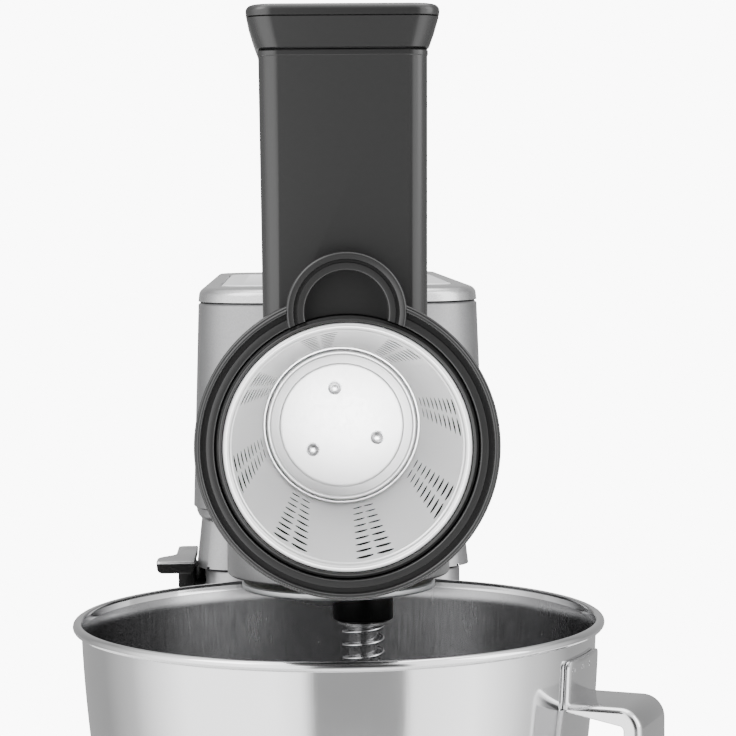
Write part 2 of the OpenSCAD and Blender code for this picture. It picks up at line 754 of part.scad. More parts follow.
module bevel_pinion() color("slategray") at_axis() difference() {
    spin_y([
        [main_shaft_r, -bevel_near], [bevel_near * bevel_slope - bevel_gap, -bevel_near],
        [bevel_far * bevel_slope - bevel_gap, -bevel_far], [bevel_far * bevel_slope - 2, -bevel_far - 4],
        [main_shaft_r, -bevel_far - 4]
    ]);
    for (i = [0 : pinion_teeth - 1]) rotate([0, i * 360 / pinion_teeth, 0]) translate([0, bevel_near, 0])
        rotate([atan(bevel_slope), 0, 0])
            block([-0.7, -2, bevel_near * bevel_slope - 1.5], [0.7, 16, bevel_near * bevel_slope + 3]);
}

// ---- Planet carrier ----

module planet_carrier() color("lightgray") difference() {
    union() {
        translate([0, 0, carrier_z + 2]) cylinder(r1 = carrier_r - 24, r2 = carrier_r - 3, h = carrier_h - 4.5);
        translate([0, 0, carrier_z + carrier_h - 3]) cylinder(r = carrier_r, h = 3);
        at_planet() translate([0, 0, carrier_z - boss_h]) cylinder(r = boss_r, h = boss_h + carrier_h - 1);
    }
    translate([0, 0, carrier_z - 1]) cylinder(r = carrier_shaft_r, h = carrier_h + 2);
    at_planet() translate([0, 0, carrier_z - 10]) cylinder(r = tool_r + run_fit, h = 40);
}

module carrier_shaft() color("silver") translate([0, 0, carrier_z + 2])
    cylinder(r = carrier_shaft_r, h = wheel_z + 4 - carrier_z);

wheel_z = axis_z - bevel_far * bevel_slope - 4;

module bevel_wheel() color("slategray") difference() {
    rotate_extrude() polygon([
        [carrier_shaft_r, wheel_z], [bevel_far - 1, wheel_z], [bevel_far, axis_z - bevel_far * bevel_slope - bevel_gap],
        [bevel_near, axis_z - bevel_near * bevel_slope - bevel_gap], [carrier_shaft_r, axis_z - bevel_near * bevel_slope - bevel_gap]
    ]);
    for (i = [0 : wheel_teeth - 1]) rotate([0, 0, i * 360 / wheel_teeth])
        translate([0, 0, axis_z - 2.2]) rotate([0, atan(bevel_slope), 0]) block([bevel_near, -0.8, 0], [34, 0.8, 6]);
}

// ---- Tool spindle ----

module tool_shaft() color("gainsboro") difference() {
    at_planet() translate([0, 0, rim_z - tool_drop]) {
        cylinder(r = tool_r, h = gear_z + gear_h + 1 - rim_z + tool_drop);
        translate([0, 0, -1]) cylinder(r = tool_r - 1, h = 2);
    }
    at_planet() translate([0, 0, rim_z - tool_drop + free_len]) difference() {
        cylinder(r = tool_r + 1, h = clip_groove);
        cylinder(r = tool_r - 0.6, h = 3 * clip_groove, center = true);
    }
    at_planet() rotate([0, 0, -90 - planet_angle]) translate([tool_r, 0, rim_z - tool_drop + free_len + 3])
        block([-0.9, -tool_groove / 2, 0], [2, tool_groove / 2, washer_z - rim_z + tool_drop - free_len - 5]);
}

module shaft_washer() color("silver") at_planet() translate([0, 0, washer_z]) difference() {
    cylinder(r = washer_r, h = washer_t);
    translate([0, 0, -1]) cylinder(r = tool_r, h = washer_t + 2);
}

washer_z = carrier_z - boss_h - washer_t - 0.3;

// A coil spring swept as one closed surface
module tool_spring() color("gray") at_planet() translate([0, 0, washer_z - spring_len - spring_wire]) {
    sides = 8;
    steps = 22 * spring_turns;
    centre = function (i) let (a = 360 * spring_turns * i / steps)
        [spring_r * cos(a), spring_r * sin(a), spring_len * i / steps];
    points = [for (i = [0 : steps]) for (j = [0 : sides - 1])
        let (a = 360 * spring_turns * i / steps, b = 360 * j / sides)
        centre(i) + spring_wire * [cos(b) * cos(a), cos(b) * sin(a), sin(b)]];
    rings = [for (i = [0 : steps - 1]) for (j = [0 : sides - 1])
        [i * sides + j, (i + 1) * sides + j, (i + 1) * sides + (j + 1) % sides, i * sides + (j + 1) % sides]];
    polyhedron(points, concat(rings, [[for (j = [0 : sides - 1]) j]],
        [[for (j = [sides - 1 : -1 : 0]) steps * sides + j]]), convexity = 8);
}

// ---- Drum attachment ----

// The drum's outer radius at a distance behind its mouth
function drum_outer(s) = drum_r - 0.6 + (drum_end_r + drum_wall - drum_r + 0.6) * s / drum_len;

module chute_prism(inset, z0, z1) translate([0, 0, z0]) linear_extrude(z1 - z0) polygon(round_rect(
    [-chute_w / 2 + inset, chute_front + inset], [chute_w / 2 - inset, chute_back - inset], chute_round - inset));

module drum_housing() color("black") difference() {
    union() {
        at_axis() spin_y([
            [0, -house_rear], [drum_outer(drum_len) + drum_clear + house_t, -house_rear],
            [drum_outer(frame_t) + drum_clear + house_t + 1.5, -(mouth_y + frame_t)], [0, -(mouth_y + frame_t)]
        ]);
        chute_prism(0, axis_z + 10, chute_top_z);
        at_axis() bar_y(hub_ring_r + part_gap + sleeve_t, house_rear - 1, house_rear + sleeve_len);
    }
    at_axis() spin_y([
        [0, -(house_rear - house_back_t)], [drum_outer(drum_len) + drum_clear, -(house_rear - house_back_t)],
        [drum_outer(frame_t) + drum_clear + 1.5, -(mouth_y + frame_t)],
        [drum_outer(frame_t) + drum_clear + 1.5, -(mouth_y - 20)], [0, -(mouth_y - 20)]
    ]);
    chute_prism(chute_wall, axis_z + 12, chute_top_z + 1);
    at_axis() bar_y(hub_ring_r + part_gap, house_rear, 0);
    at_axis() bar_y(hub_tube_r + run_fit, house_rear - 20, 0);
}

hub_tube_r = 7;

module front_frame() color("black") difference() {
    union() {
        at_axis() spin_y([
            [frame_in, -mouth_y - frame_t], [frame_r, -mouth_y - frame_t], [frame_r, -mouth_y - 2],
            [frame_r - 1.4, -mouth_y], [frame_r - 2.2, -mouth_y], [frame_r - 2.6, -mouth_y - 1.2],
            [frame_r - 4, -mouth_y - 1.2], [frame_r - 4.4, -mouth_y], [frame_in, -mouth_y]
        ]);
        difference() {
            translate([0, 0, axis_z + arch_rise]) {
                bar_y(arch_r, mouth_y + 1.2, mouth_y + frame_t);
                bar_y(arch_r - 3, mouth_y, mouth_y + 4);
            }
            at_axis() bar_y(frame_r - 1, mouth_y - 5, mouth_y + 40);
        }
    }
    translate([0, 0, axis_z + arch_rise]) bar_y(arch_r - 6.2, mouth_y - 1, mouth_y + 8);
    at_axis() bar_y(frame_in, mouth_y - 1, mouth_y + 40);
}

module pusher() color("black") difference() {
    chute_prism(chute_wall + part_gap, pusher_z, chute_top_z);
    chute_prism(chute_wall + part_gap + 2, pusher_z + 3, chute_top_z + 1);
}

module pusher_cap() color("black") translate([0, (chute_front + chute_back) / 2, chute_top_z])
    linear_extrude(cap_h, scale = [1 + 2 * cap_flare / chute_w, 1 + 2 * cap_flare / chute_len], slices = 1, $fn = 0)
        polygon(round_rect([-chute_w / 2, -chute_len / 2], [chute_w / 2, chute_len / 2], chute_round));

module drum_cone() color("gainsboro") at_axis() difference() {
    spin_y([
        [drum_r, -mouth_y - 0.8], [drum_r - 0.6, -mouth_y], [drum_r - 1.6, -mouth_y],
        [drum_r - 2.2, -mouth_y - 0.8], [drum_r - 2.2, -mouth_y - 3],
        [drum_outer(drum_len) - drum_wall, -drum_end_y], [drum_outer(drum_len), -drum_end_y],
        [drum_r - 1, -mouth_y - 4], [drum_r, -mouth_y - 3]
    ]);
    for (g = [0 : slit_groups - 1], k = [0 : slit_rows - 1], c = [-1, 1])
        rotate([0, -14 - g * 360 / slit_groups + c * (4.2 + k * 0.15), 0])
            translate([drum_outer(30), mouth_y + 14 + k * 9.5, 0]) rotate([c * 25, 0, 0])
                cube([16, 1.8, 5.2], center = true);
}

module drum_end() color("gainsboro") at_axis() {
    bar_y(drum_outer(drum_len), drum_end_y, drum_back);
    tube_y(drum_end_r - 3, drum_end_r - 1.5, drum_end_y - 1, drum_end_y + 0.5);
}

module drum_rivets() color("silver") at_axis() for (a = [100, 220, 340]) rotate([0, -a, 0])
    translate([rivet_circle, 0, 0]) bar_y(rivet_r, drum_end_y - 0.8, drum_end_y);

module drum_collar() color("black") at_axis()
    tube_y(collar_in, collar_out, mouth_y + 1, mouth_y + frame_t);

module drum_hub() color("black") at_axis() {
    bar_y(18, drum_back, drum_back + 2.4);
    bar_y(hub_tube_r, drum_back, house_rear + 4);
    bar_y(4.2, house_rear, main_front + 2);
    translate([0, main_front + 10, 0]) rotate([90, 0, 0]) cylinder(r = hex_tail_r, h = 12, $fn = 6);
}

// ---- Release lever ----

module at_lever() translate([0, lever_y, lever_pivot_z]) children();

module release_lever() color("black") difference() {
    union() {
        block([-lever_in - lever_w, lever_front, lever_z], [-lever_in, lever_front + lever_len, lever_z + lever_h]);
        block([-lever_in - 8, lever_y - 22, lever_pivot_z + 1], [-lever_in, lever_y + 7, lever_z + 1]);
        at_lever() bar_x(9, -lever_in - 8, -column_w / 2 - 1);
    }
    at_lever() bar_x(lever_shaft_r, -lever_in - 4, 0);
}

module lever_pad() color("silver")
    block([-lever_in - lever_w, lever_front, lever_z + lever_h], [-lever_in, lever_front + lever_len, lever_z + lever_h + pad_h]);

module lever_shaft() color("lightgray") at_lever() bar_x(lever_shaft_r, -lever_in - 4, -column_w / 2 + 22);

module latch_cam() color("dimgray") at_lever() difference() {
    union() {
        bar_x(7, -column_w / 2 + 8, -column_w / 2 + 18);
        block([-column_w / 2 + 8, -16, -4], [-column_w / 2 + 18, 0, 2]);
    }
    bar_x(lever_shaft_r, -column_w, 0);
}

// ---- Speed knob ----

module speed_knob() color("silver") translate([0, knob_y, knob_z]) difference() {
    union() {
        bar_x(knob_r, column_w / 2 + 0.6, column_w / 2 + knob_len);
        bar_x(knob_r - 2, column_w / 2 + knob_len - 1, column_w / 2 + knob_len + 1.5);
        block([column_w / 2 + knob_len, -2, 4], [column_w / 2 + knob_len + 2.4, 2, knob_r - 3]);
    }
    bar_x(knob_shaft_r, column_w / 2, column_w / 2 + knob_len - 3);
}

module knob_shaft() color("lightgray") translate([0, knob_y, knob_z])
    bar_x(knob_shaft_r, column_w / 2 - 13, column_w / 2 + knob_len - 3);

base_housing();
column_housing();
base_cover();
rubber_feet();
base_screws();
bowl_seat();
column_cover();
cord_gland();
control_board();
knob_trim();
hinge_pin();
bowl();
bowl_foot();
bowl_handle();
head_shell();
head_top_cover();
head_belly();
gear_chassis();
hub_ring();
motor_stator();
ring_gear();
shaft_bearings();
drive_belt();
port_lid();
motor_rotor();
motor_shaft();
motor_pulley();
motor_fan();
main_shaft();
main_pulley();
bevel_pinion();
planet_carrier();
carrier_shaft();
bevel_wheel();
tool_shaft();
planet_gear();
shaft_washer();
tool_spring();
drum_housing();
front_frame();
pusher();
pusher_cap();
drum_cone();
drum_end();
drum_rivets();
drum_collar();
drum_hub();
release_lever();
lever_pad();
lever_shaft();
latch_cam();
speed_knob();
knob_shaft();
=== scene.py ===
"""A tilt-head kitchen machine: a steel bowl below, a drum shredder on its front hub."""

import json
import logging
import math
from collections.abc import Callable, Sequence
from dataclasses import dataclass, field
from enum import Enum

import bpy
from mathutils import Matrix, Vector

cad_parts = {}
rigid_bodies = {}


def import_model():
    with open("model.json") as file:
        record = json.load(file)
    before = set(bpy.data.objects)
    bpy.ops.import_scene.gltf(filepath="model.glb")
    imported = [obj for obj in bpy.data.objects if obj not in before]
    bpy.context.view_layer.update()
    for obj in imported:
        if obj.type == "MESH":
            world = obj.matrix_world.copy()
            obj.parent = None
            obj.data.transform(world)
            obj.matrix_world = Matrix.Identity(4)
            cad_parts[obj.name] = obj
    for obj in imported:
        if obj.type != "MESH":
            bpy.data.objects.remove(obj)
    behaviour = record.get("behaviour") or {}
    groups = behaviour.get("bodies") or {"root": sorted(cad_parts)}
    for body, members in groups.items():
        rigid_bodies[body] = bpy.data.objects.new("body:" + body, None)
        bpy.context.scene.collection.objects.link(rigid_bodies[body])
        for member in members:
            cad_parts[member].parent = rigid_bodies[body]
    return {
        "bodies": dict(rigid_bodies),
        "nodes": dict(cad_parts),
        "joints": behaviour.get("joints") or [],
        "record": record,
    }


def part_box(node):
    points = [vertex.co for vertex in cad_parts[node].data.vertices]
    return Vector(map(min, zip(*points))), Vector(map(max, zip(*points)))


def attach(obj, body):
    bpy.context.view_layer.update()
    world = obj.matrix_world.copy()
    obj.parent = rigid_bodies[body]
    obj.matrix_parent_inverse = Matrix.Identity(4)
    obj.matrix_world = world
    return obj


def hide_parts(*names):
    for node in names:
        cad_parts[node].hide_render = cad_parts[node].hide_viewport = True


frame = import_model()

LOG = logging.getLogger("kitchen_machine")
MM = 0.001
PAST = 0.1  # How far a cutter reaches past what it cuts.
THROUGH = 0.3  # The length of a cutter that goes right through.
Point = tuple[float, float, float]
Pair = tuple[float, float]


class Axis(Enum):
    """An axis that a profile is turned about."""

    X = (1.0, 0.0, 0.0)
    Y = (0.0, 1.0, 0.0)
    Z = (0.0, 0.0, 1.0)

    def place(self, centre: Vector, radius: float, along: float) -> Vector:
        """Places one profile point.

        Args:
            centre: A point on the axis.
            radius: The distance from the axis.
            along: The position on the axis.

        Returns:
            The point in the row frame.
        """
        if self is Axis.X:
            return Vector((along, centre.y, centre.z + radius))
        if self is Axis.Y:
            return Vector((centre.x, along, centre.z + radius))
        return Vector((centre.x + radius, centre.y, along))


class Kind(Enum):
    """What a choice in edit mode picks."""

    VERTICES = "VERT"
    EDGES = "EDGE"
    FACES = "FACE"


@dataclass(frozen=True)
class Span:
    """The box of one node of the frame."""

    low: Vector
    high: Vector

    @classmethod
    def of(cls, node: str) -> "Span":
        """Reads a node's box.

        Args:
            node: The node's name.

        Returns:
            Its box.
        """
        low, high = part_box(node)
        return cls(low, high)

    @property
    def middle(self) -> Vector:
        """The middle of the box."""
        return (self.low + self.high) / 2

    @property
    def size(self) -> Vector:
        """The lengths of the box's sides."""
        return self.high - self.low


# ---- Modelling ----


class Modeller:
    """Edit-mode tools shared by every assembly."""

    @staticmethod
    def pick(obj: bpy.types.Object) -> None:
        """Makes an object the only chosen one.

        Args:
            obj: The object.
        """
        if bpy.context.object and bpy.context.object.mode != "OBJECT":
            bpy.ops.object.mode_set(mode="OBJECT")
        bpy.ops.object.select_all(action="DESELECT")
        obj.select_set(True)
        bpy.context.view_layer.objects.active = obj

    @classmethod
    def edit(cls, obj: bpy.types.Object) -> None:
        """Opens an object in edit mode with everything selected.

        Args:
            obj: The object.
        """
        cls.pick(obj)
        bpy.ops.object.mode_set(mode="EDIT")
        bpy.ops.mesh.select_all(action="SELECT")

    @staticmethod
    def done() -> None:
        """Leaves edit mode."""
        bpy.ops.object.mode_set(mode="OBJECT")

    @classmethod
    def choose(cls, obj: bpy.types.Object, kind: Kind, test: Callable[[Vector], bool]) -> int:
        """Selects the parts of a mesh whose middles pass a test, and stays in edit mode.

        Args:
            obj: The object.
            kind: Vertices, edges or faces.
            test: Tells from a middle point whether the part is wanted.

        Returns:
            How many were selected.
        """
        cls.pick(obj)
        modes = bpy.context.tool_settings
        modes.mesh_select_mode = tuple(kind is k for k in (Kind.VERTICES, Kind.EDGES, Kind.FACES))
        mesh = obj.data
        for group in (mesh.vertices, mesh.edges, mesh.polygons):
            group.foreach_set("select", [False] * len(group))
        count = 0
        if kind is Kind.VERTICES:
            for vertex in mesh.vertices:
                vertex.select = test(vertex.co)
                count += vertex.select
        elif kind is Kind.EDGES:
            for edge in mesh.edges:
                ends = [mesh.vertices[i].co for i in edge.vertices]
                edge.select = all(test(end) for end in ends)
                count += edge.select
                if edge.select:
                    for i in edge.vertices:
                        mesh.vertices[i].select = True
        else:
            for face in mesh.polygons:
                face.select = test(face.center)
                count += face.select
        bpy.ops.object.mode_set(mode="EDIT")
        return count

    @classmethod
    def trace(cls, name: str, points: Sequence[Vector | Point], closed: bool = False) -> bpy.types.Object:
        """Draws a line by pulling one vertex from point to point, and stays in edit mode.

        Args:
            name: The new object's name.
            points: The line's points.
            closed: Whether the line becomes a face.

        Returns:
            The new object.
        """
        if bpy.context.object and bpy.context.object.mode != "OBJECT":
            cls.done()
        bpy.ops.object.select_all(action="DESELECT")
        bpy.ops.mesh.primitive_plane_add(size=MM, location=points[0])
        obj = bpy.context.active_object
        obj.name = obj.data.name = name
        bpy.ops.object.transform_apply(location=True, rotation=False, scale=False)
        cls.edit(obj)
        bpy.ops.mesh.select_mode(type="VERT")
        bpy.ops.mesh.merge(type="CENTER")
        here = Vector(points[0])
        for point in points[1:]:
            there = Vector(point)
            bpy.ops.mesh.extrude_region_move(TRANSFORM_OT_translate={"value": there - here})
            here = there
        if closed:
            bpy.ops.mesh.select_all(action="SELECT")
            bpy.ops.mesh.edge_face_add()
        return obj

    @classmethod
    def tidy(cls, obj: bpy.types.Object, angle: float = 32.0) -> bpy.types.Object:
        """Merges doubles, turns the normals outwards and shades the mesh.

        Args:
            obj: The object.
            angle: Edges flatter than this are smooth, in degrees.

        Returns:
            The object.
        """
        cls.edit(obj)
        bpy.ops.mesh.remove_doubles(threshold=2e-6)
        bpy.ops.mesh.normals_make_consistent(inside=False)
        cls.done()
        bpy.ops.object.shade_smooth_by_angle(angle=math.radians(angle))
        return obj

    @classmethod
    def turn(
        cls,
        name: str,
        profile: Sequence[Pair],
        axis: Axis,
        centre: Vector | Point = (0, 0, 0),
        steps: int = 96,
        angle: float = 32.0,
    ) -> bpy.types.Object:
        """Turns a profile all the way round an axis.

        Args:
            name: The new object's name.
            profile: Pairs of radius and position along the axis.
            axis: The axis.
            centre: A point on the axis.
            steps: The number of facets round the axis.
            angle: The shading angle in degrees.

        Returns:
            The new object.
        """
        centre = Vector(centre)
        obj = cls.trace(name, [axis.place(centre, r, a) for r, a in profile])
        bpy.ops.mesh.select_all(action="SELECT")
        bpy.ops.mesh.spin(steps=steps, angle=math.tau, center=centre, axis=axis.value)
        return cls.tidy(obj, angle)

    @classmethod
    def raise_plan(
        cls,
        name: str,
        plan: Sequence[Pair],
        levels: Sequence[Pair],
        half: Pair,
        middle: Pair,
        angle: float = 32.0,
    ) -> bpy.types.Object:
        """Raises a flat plan through levels that each draw it in by an inset.

        Args:
            name: The new object's name.
            plan: The plan's outline in X and Y.
            levels: Pairs of height and inset, from the bottom up.
            half: The plan's half lengths in X and Y.
            middle: The plan's middle.
            angle: The shading angle in degrees.

        Returns:
            The new object.
        """
        z, inset = levels[0]
        first = [
            (
                middle[0] + (x - middle[0]) * (half[0] - inset) / half[0],
                middle[1] + (y - middle[1]) * (half[1] - inset) / half[1],
                z,
            )
            for x, y in plan
        ]
        obj = cls.trace(name, first, closed=True)
        for height, draw in levels[1:]:
            bpy.ops.mesh.extrude_region_move(TRANSFORM_OT_translate={"value": (0, 0, height - z)})
            scale = ((half[0] - draw) / (half[0] - inset), (half[1] - draw) / (half[1] - inset), 1)
            bpy.ops.transform.resize(value=scale, center_override=(middle[0], middle[1], height))
            z, inset = height, draw
        return cls.tidy(obj, angle)

    @classmethod
    def block(
        cls, name: str, low: Point, high: Point, bevel: float = 0.0, segments: int = 3
    ) -> bpy.types.Object:
        """Makes a box with softened edges.

        Args:
            name: The new object's name.
            low: The lowest corner.
            high: The highest corner.
            bevel: The edges' rounding.
            segments: The rounding's steps.

        Returns:
            The new object.
        """
        bpy.ops.object.select_all(action="DESELECT")
        size = Vector(high) - Vector(low)
        bpy.ops.mesh.primitive_cube_add(size=1, location=(Vector(high) + Vector(low)) / 2, scale=size)
        obj = bpy.context.active_object
        obj.name = obj.data.name = name
        bpy.ops.object.transform_apply(location=True, rotation=False, scale=True)
        if bevel:
            cls.edit(obj)
            bpy.ops.mesh.bevel(offset=bevel, segments=segments, affect="EDGES")
            cls.done()
        return cls.tidy(obj)

    @classmethod
    def rod(
        cls, name: str, centre: Point, radius: float, length: float, along: str, steps: int = 64
    ) -> bpy.types.Object:
        """Makes a round bar about a centre.

        Args:
            name: The new object's name.
            centre: The bar's middle.
            radius: Its radius.
            length: Its length.
            along: "X", "Y" or "Z".
            steps: The number of facets.

        Returns:
            The new object.
        """
        bpy.ops.object.select_all(action="DESELECT")
        turned = {"X": (0, math.pi / 2, 0), "Y": (math.pi / 2, 0, 0), "Z": (0, 0, 0)}[along]
        bpy.ops.mesh.primitive_cylinder_add(
            vertices=steps, radius=radius, depth=length, location=centre, rotation=turned
        )
        obj = bpy.context.active_object
        obj.name = obj.data.name = name
        bpy.ops.object.transform_apply(location=True, rotation=True, scale=False)
        return obj

    @classmethod
    def combine(cls, obj: bpy.types.Object, tool: bpy.types.Object, how: str = "DIFFERENCE") -> None:
        """Cuts an object with a tool, or joins them, and removes the tool.

        Args:
            obj: The object.
            tool: The tool.
            how: The boolean's name.
        """
        cls.pick(obj)
        modifier = obj.modifiers.new("cut", "BOOLEAN")
        modifier.operation = how
        modifier.solver = "EXACT"
        modifier.object = tool
        bpy.ops.object.modifier_apply(modifier=modifier.name)
        mesh = tool.data
        bpy.data.objects.remove(tool)
        bpy.data.meshes.remove(mesh)

    @classmethod
    def soften(cls, obj: bpy.types.Object, width: float, segments: int = 2, angle: float = 40.0) -> None:
        """Rounds an object's sharp edges.

        Args:
            obj: The object.
            width: The rounding.
            segments: Its steps.
            angle: Only edges sharper than this are rounded, in degrees.
        """
        cls.pick(obj)
        modifier = obj.modifiers.new("soft", "BEVEL")
        modifier.width = width
        modifier.segments = segments
        modifier.limit_method = "ANGLE"
        modifier.angle_limit = math.radians(angle)
        modifier.use_clamp_overlap = True
        bpy.ops.object.modifier_apply(modifier=modifier.name)
        bpy.ops.object.shade_smooth_by_angle(angle=math.radians(35))

    @classmethod
    def rotate(cls, obj: bpy.types.Object, degrees: float, axis: str, centre: Point | Vector) -> None:
        """Turns an object's mesh about a line through a point.

        Args:
            obj: The object.
            degrees: The angle.
            axis: "X", "Y" or "Z".
            centre: A point on the line.
        """
        cls.edit(obj)
        bpy.ops.transform.rotate(value=math.radians(-degrees), orient_axis=axis, center_override=centre)
        cls.done()

    @classmethod
    def move(cls, obj: bpy.types.Object, by: Point | Vector) -> None:
        """Moves an object's mesh.

        Args:
            obj: The object.
            by: How far.
        """
        cls.edit(obj)
        bpy.ops.transform.translate(value=by)
        cls.done()

    @classmethod
    def copy(cls, obj: bpy.types.Object, name: str) -> bpy.types.Object:
        """Copies an object with a mesh of its own.

        Args:
            obj: The object.
            name: The copy's name.

        Returns:
            The copy.
        """
        cls.pick(obj)
        bpy.ops.object.duplicate(linked=False)
        made = bpy.context.active_object
        made.name = made.data.name = name
        return made

    @classmethod
    def join(cls, objs: Sequence[bpy.types.Object], name: str) -> bpy.types.Object:
        """Joins objects into one.

        Args:
            objs: The objects.
            name: The name of the result.

        Returns:
            The joined object.
        """
        cls.pick(objs[0])
        for obj in objs[1:]:
            obj.select_set(True)
        bpy.ops.object.join()
        objs[0].name = objs[0].data.name = name
        return objs[0]


def arc(centre: Pair, radius: float, start: float, end: float, steps: int = 6) -> list[Pair]:
    """Points along an arc.

    Args:
        centre: The arc's centre.
        radius: Its radius.
        start: The first angle in degrees.
        end: The last angle in degrees.
        steps: The number of segments.

    Returns:
        The points, both ends included.
    """
    angles = [math.radians(start + (end - start) * i / steps) for i in range(steps + 1)]
    return [(centre[0] + radius * math.cos(a), centre[1] + radius * math.sin(a)) for a in angles]


def rounded(low: Pair, high: Pair, radius: float, steps: int = 8) -> list[Pair]:
    """A rounded rectangle.

    Args:
        low: Its lowest corner.
        high: Its highest corner.
        radius: The corners' radius.
        steps: Segments in each corner.

    Returns:
        The outline.
    """
    return (
        arc((high[0] - radius, low[1] + radius), radius, -90, 0, steps)
        + arc((high[0] - radius, high[1] - radius), radius, 0, 90, steps)
        + arc((low[0] + radius, high[1] - radius), radius, 90, 180, steps)
        + arc((low[0] + radius, low[1] + radius), radius, 180, 270, steps)
    )


def eased(top: float, soft: float, inset: float, angles: Sequence[float]) -> list[Pair]:
    """Levels that round a plan's upper edge over.

    Args:
        top: The height of the top face.
        soft: The rounding's radius.
        inset: The plan's inset below the rounding.
        angles: Where on the rounding each level lies, in degrees.

    Returns:
        Pairs of height and inset.
    """
    turns = [math.radians(angle) for angle in angles]
    return [(top - soft + soft * math.sin(a), inset + soft * (1 - math.cos(a))) for a in turns]


def signed_power(value: float, power: float) -> float:
    """A power that keeps its number's sign.

    Args:
        value: The number.
        power: The exponent.

    Returns:
        The result.
    """
    return math.copysign(abs(value) ** power, value)


# ---- Finishes ----


@dataclass(frozen=True)
class Wiring:
    """Adds nodes to a tree and links them.

    Attributes:
        tree: The tree of a material or of the world.
    """

    tree: bpy.types.NodeTree

    def feed(self, node: bpy.types.Node, inputs: dict[str | int, object]) -> None:
        """Sets or links a node's inputs.

        Args:
            node: The node.
            inputs: A value or another node's output for each input.
        """
        for key, value in inputs.items():
            if isinstance(value, bpy.types.NodeSocket):
                self.tree.links.new(value, node.inputs[key])
            else:
                node.inputs[key].default_value = value

    def node(self, kind: str, inputs: dict[str | int, object], operation: str = "") -> bpy.types.Node:
        """Adds a node.

        Args:
            kind: The node's type.
            inputs: A value or another node's output for each input.
            operation: What a maths node does.

        Returns:
            The node.
        """
        made = self.tree.nodes.new(kind)
        if operation:
            made.operation = operation
        self.feed(made, inputs)
        return made


@dataclass(frozen=True)
class Finish:
    """A procedural surface.

    Attributes:
        name: The material's name.
        color: Its base colour.
        metallic: 1 for bare metal.
        roughness: The middle roughness.
        spread: How far the roughness wanders to each side.
        grain: The fine grain's scale, in cells per metre.
        stretch: How the grain is drawn out along X, Y and Z.
        bump: The grain's height in the shading.
        mottle: How far the colour wanders.
        coat: A clear coat's weight.
        flake: Scale of metallic flakes in cells per metre, or 0.
        specular: The strength of reflections on what isn't metal.
    """

    name: str
    color: Point
    metallic: float = 0.0
    roughness: float = 0.4
    spread: float = 0.06
    grain: float = 900.0
    stretch: Point = (1.0, 1.0, 1.0)
    bump: float = 0.05
    mottle: float = 0.04
    coat: float = 0.0
    flake: float = 0.0
    specular: float = 0.5

    def build(self) -> bpy.types.Material:
        """Builds the material once, or takes the one that already has its name.

        Returns:
            The material.
        """
        made = bpy.data.materials.get(self.name)
        if made:
            return made
        made = bpy.data.materials.new(self.name)
        made.use_nodes = True
        wiring = Wiring(made.node_tree)
        place = wiring.node("ShaderNodeTexCoord", {}).outputs["Object"]
        drawn = wiring.node("ShaderNodeMapping", {"Scale": self.stretch, "Vector": place}).outputs["Vector"]
        fine = wiring.node(
            "ShaderNodeTexNoise", {"Scale": self.grain, "Detail": 4.0, "Vector": drawn}
        ).outputs["Fac"]
        broad = wiring.node("ShaderNodeTexNoise", {"Scale": 38.0, "Detail": 6.0,
            "Vector": place}).outputs["Fac"]
        mixed = wiring.node("ShaderNodeMath", {0: fine, 1: broad}, "ADD").outputs["Value"]
        dull = self.roughness + self.spread
        keen = max(self.roughness - self.spread, 0.02)
        rough = self.spread_out(wiring, mixed, (0.6, 1.4), (keen, dull))
        tone = self.spread_out(wiring, broad, (0.3, 0.7), (1 - self.mottle, 1 + self.mottle))
        tint = wiring.node("ShaderNodeVectorMath", {0: self.color, "Scale": tone}, "SCALE")
        color = tint.outputs["Vector"]
        if self.flake:
            color = self.add_flakes(wiring, place, color)
        relief = wiring.node("ShaderNodeBump", {"Strength": self.bump, "Distance": 0.2 * MM, "Height": fine})
        wiring.feed(
            made.node_tree.nodes["Principled BSDF"],
            {
                "Base Color": color,
                "Roughness": rough,
                "Normal": relief.outputs["Normal"],
                "Metallic": self.metallic,
                "Coat Weight": self.coat,
                "Coat Roughness": 0.12,
                "Specular IOR Level": self.specular,
            },
        )
        return made

    @staticmethod
    def spread_out(wiring: Wiring, value: bpy.types.NodeSocket, was: Pair, now: Pair) -> bpy.types.NodeSocket:
        """Brings a value from one range to another.

        Args:
            wiring: The material's nodes.
            value: The value.
            was: The range that it comes from.
            now: The range that it goes to.

        Returns:
            The value in its new range.
        """
        ends = {"From Min": was[0], "From Max": was[1], "To Min": now[0], "To Max": now[1]}
        return wiring.node("ShaderNodeMapRange", {"Value": value, **ends}).outputs["Result"]

    def add_flakes(
        self, wiring: Wiring, place: bpy.types.NodeSocket, color: bpy.types.NodeSocket
    ) -> bpy.types.NodeSocket:
        """Adds fine flakes of metal to a paint.

        Args:
            wiring: The material's nodes.
            place: The coordinates.
            color: The colour so far.

        Returns:
            The colour with flakes.
        """
        cells = wiring.node("ShaderNodeTexVoronoi", {"Scale": self.flake, "Vector": place})
        spark = wiring.node("ShaderNodeSeparateColor", {"Color": cells.outputs["Color"]})
        shine = self.spread_out(wiring, spark.outputs["Red"], (0.0, 1.0), (0.94, 1.08))
        return wiring.node("ShaderNodeVectorMath", {0: color, "Scale": shine}, "SCALE").outputs["Vector"]

    def line(self, obj: bpy.types.Object, test: Callable[[Vector, Vector], bool]) -> None:
        """Gives the finish to some of an object's faces.

        Args:
            obj: The object.
            test: Whether a face with this centre and normal takes it.
        """
        obj.data.materials.append(self.build())
        last = len(obj.data.materials) - 1
        for face in obj.data.polygons:
            if test(face.center, face.normal):
                face.material_index = last

    def dress(self, obj: bpy.types.Object) -> None:
        """Gives the finish to a whole object.

        Args:
            obj: The object.
        """
        obj.data.materials.clear()
        obj.data.materials.append(self.build())
        obj.data.polygons.foreach_set("material_index", [0] * len(obj.data.polygons))


